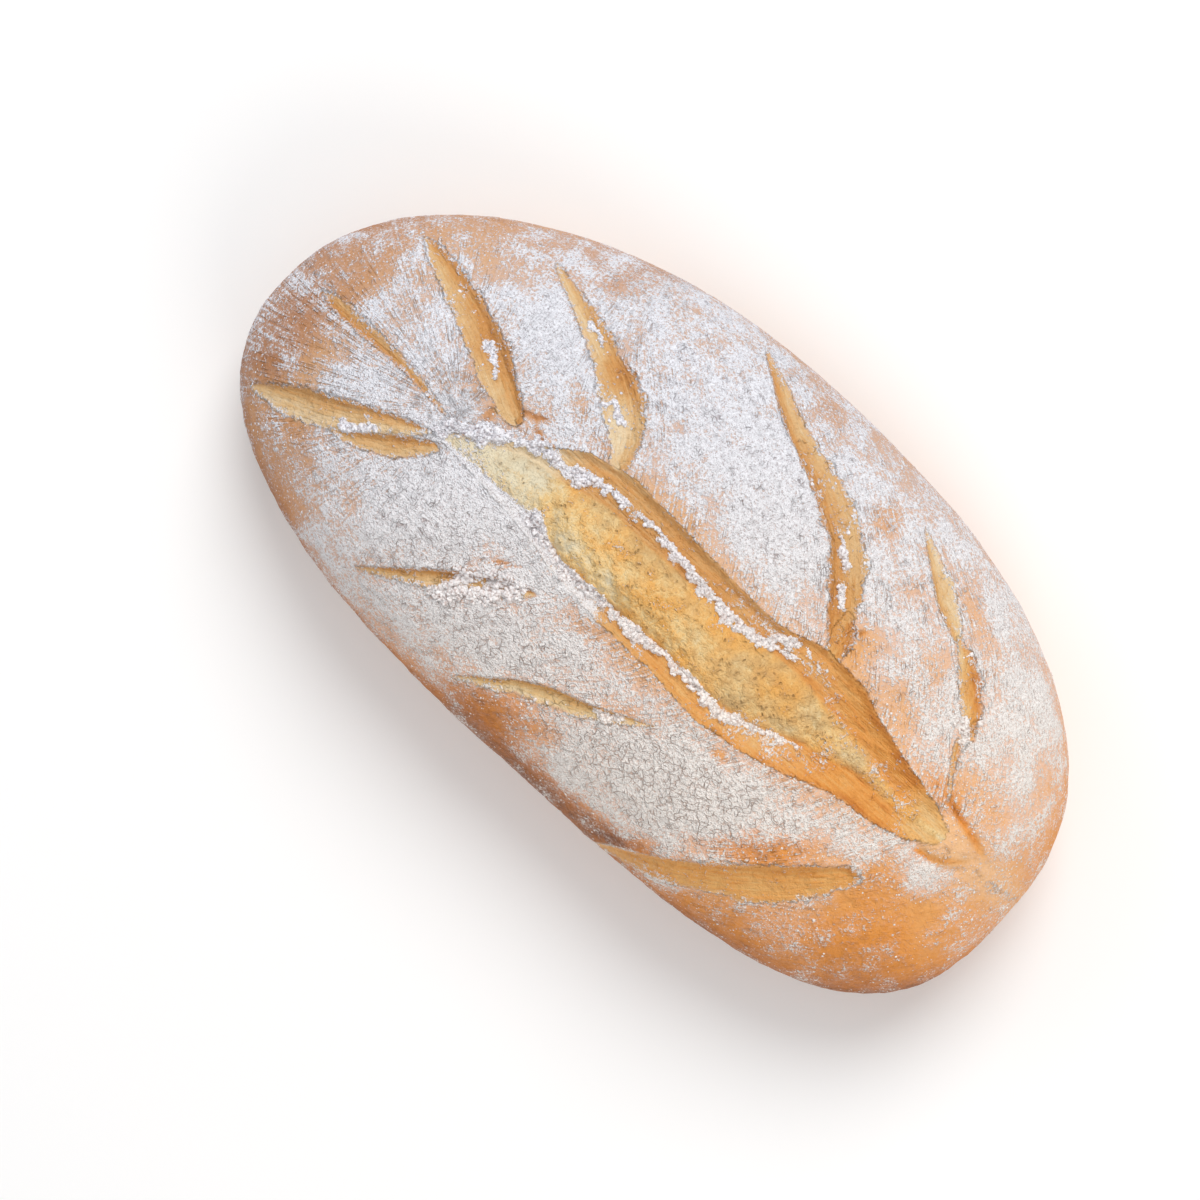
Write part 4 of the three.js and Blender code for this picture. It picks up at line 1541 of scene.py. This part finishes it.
class LOAF_OT_grains(bpy.types.Operator):
    """Dust loose grains of flour over the crust"""

    bl_idname = "loaf.grains"
    bl_label = "Flour grains"

    def execute(self, context):
        settings = context.scene.loaf_settings
        loaf = bpy.data.objects["loaf_crust"].data
        flour = point_field(loaf, "flour")
        torn = smooth(-0.5, 0.5, point_field(loaf, "torn_mm"))
        density = smooth(0.02, 0.42, flour) * (1 - 0.6 * smooth(0.6, 1.0, flour))
        density = mix(density, 0.5 * smooth(0.35, 0.9, flour), torn)
        density = density * point_field(loaf, "on_top")
        count = settings.grain_count
        places, normals, corners, rng = scatter_places(loaf, density, count, GRAIN_SEED)
        sizes = settings.grain_size * rng.lognormal(0, GRAIN_SPREAD, count)
        sizes *= 1 + 0.3 * smooth(0.35, 0.1, flour[corners].mean(1))
        template = bmesh.new()
        bmesh.ops.create_uvsphere(template, u_segments=4, v_segments=2, radius=1)
        mesh = joined_copies(template, places, normals, sizes, rng, GRAIN_FLATNESS, GRAIN_RISE)
        mesh.name = "flour_grains"
        add_piece(mesh, "flour_grains", bpy.data.materials["loose_flour"])
        return {"FINISHED"}


# The camera stands above the loaf, leaning a little towards its far long side. Millimetres.
CAMERA_TARGET = Vector((-9.5, -19.7, 35))
CAMERA_PLACE = Vector((0, 62.8, 932.8))
CAMERA_UP = Vector((-0.6687, 0.7435, 0))
CAMERA_LENS = 86.85
CAMERA_SENSOR = 36

# The floor, in metres, lies a hair below the loaf's foot.
FLOOR_SIZE = 6.0
FLOOR_GAP = 0.0002

# Soft lights: name, place in metres, size in metres, power in watts, colour. They look at the
# middle of the loaf.
LIGHT_TARGET = Vector((0, 0, 0.04))
LIGHTS = [
    ("key_light", (-0.55, 1.35, 1.75), 1.3, 31.5, (1.0, 0.985, 0.965)),
    ("cool_fill", (-1.7, -0.2, 1.3), 1.4, 5, (0.86, 0.92, 1.0)),
    ("warm_fill", (1.6, -0.5, 1.2), 1.4, 13, (1.0, 0.95, 0.89)),
]
SKY = (0.97, 0.98, 1.0, 1.0)
SKY_STRENGTH = 0.47


def look_from(thing, place, target, up):
    """Puts a light or camera at a place, looking at a target, with up as near as may be."""
    back = (place - target).normalized()
    right = up.cross(back).normalized()
    turn = Matrix((right, back.cross(right), back)).transposed().to_4x4()
    thing.matrix_world = Matrix.Translation(place) @ turn


class LOAF_OT_stage(bpy.types.Operator):
    """Set the plain floor, the soft lights and the camera"""

    bl_idname = "loaf.stage"
    bl_label = "Stage"

    def execute(self, context):
        scene = context.scene
        bm = bmesh.new()
        bmesh.ops.create_grid(bm, x_segments=1, y_segments=1, size=FLOOR_SIZE / 2)
        mesh = bpy.data.meshes.new("floor")
        bm.to_mesh(mesh)
        bm.free()
        mesh.transform(Matrix.Translation((0, 0, CAD_LOW[2] * MM - FLOOR_GAP)))
        mesh.materials.append(floor_finish((*scene.loaf_settings.floor, 1)))
        floor = bpy.data.objects.new("floor", mesh)
        scene.collection.objects.link(floor)

        for name, place, size, power, colour in LIGHTS:
            lamp = bpy.data.lights.new(name, "AREA")
            lamp.shape = "DISK"
            lamp.size = size
            lamp.energy = power
            lamp.color = colour
            light = bpy.data.objects.new(name, lamp)
            scene.collection.objects.link(light)
            look_from(light, Vector(place), LIGHT_TARGET, Vector((0, 0, 1)))

        scene.world = bpy.data.worlds.new("soft_room")
        scene.world.use_nodes = True
        sky = scene.world.node_tree.nodes["Background"]
        sky.inputs["Color"].default_value = SKY
        sky.inputs["Strength"].default_value = SKY_STRENGTH
        scene.view_settings.view_transform = "Standard"

        lens = bpy.data.cameras.new("camera")
        lens.lens = CAMERA_LENS
        lens.sensor_width = CAMERA_SENSOR
        camera = bpy.data.objects.new("camera", lens)
        scene.collection.objects.link(camera)
        look_from(camera, CAMERA_PLACE * MM, CAMERA_TARGET * MM, CAMERA_UP)
        scene.camera = camera
        return {"FINISHED"}


class LOAF_PT_panel(bpy.types.Panel):
    """The loaf's settings and its operators"""

    bl_idname = "LOAF_PT_panel"
    bl_label = "Floured loaf"
    bl_space_type = "VIEW_3D"
    bl_region_type = "UI"
    bl_category = "Loaf"

    def draw(self, context):
        settings = context.scene.loaf_settings
        for name in settings.bl_rna.properties.keys():
            if name not in ("rna_type", "name"):
                self.layout.prop(settings, name)
        for step in STEPS:
            self.layout.operator(step.bl_idname)


STEPS = (LOAF_OT_crust, LOAF_OT_clumps, LOAF_OT_grains, LOAF_OT_stage)
CLASSES = (LoafSettings, *STEPS, LOAF_PT_panel)


def register():
    """Adds the settings, operators and panel."""
    for kind in CLASSES:
        bpy.utils.register_class(kind)
    bpy.types.Scene.loaf_settings = bpy.props.PointerProperty(type=LoafSettings)


def unregister():
    """Takes them away again."""
    del bpy.types.Scene.loaf_settings
    for kind in reversed(CLASSES):
        bpy.utils.unregister_class(kind)


def main():
    """Builds the loaf and its stage."""
    register()
    bpy.ops.loaf.crust()
    bpy.ops.loaf.clumps()
    bpy.ops.loaf.grains()
    bpy.ops.loaf.stage()


if __name__ == "__main__":
    main()
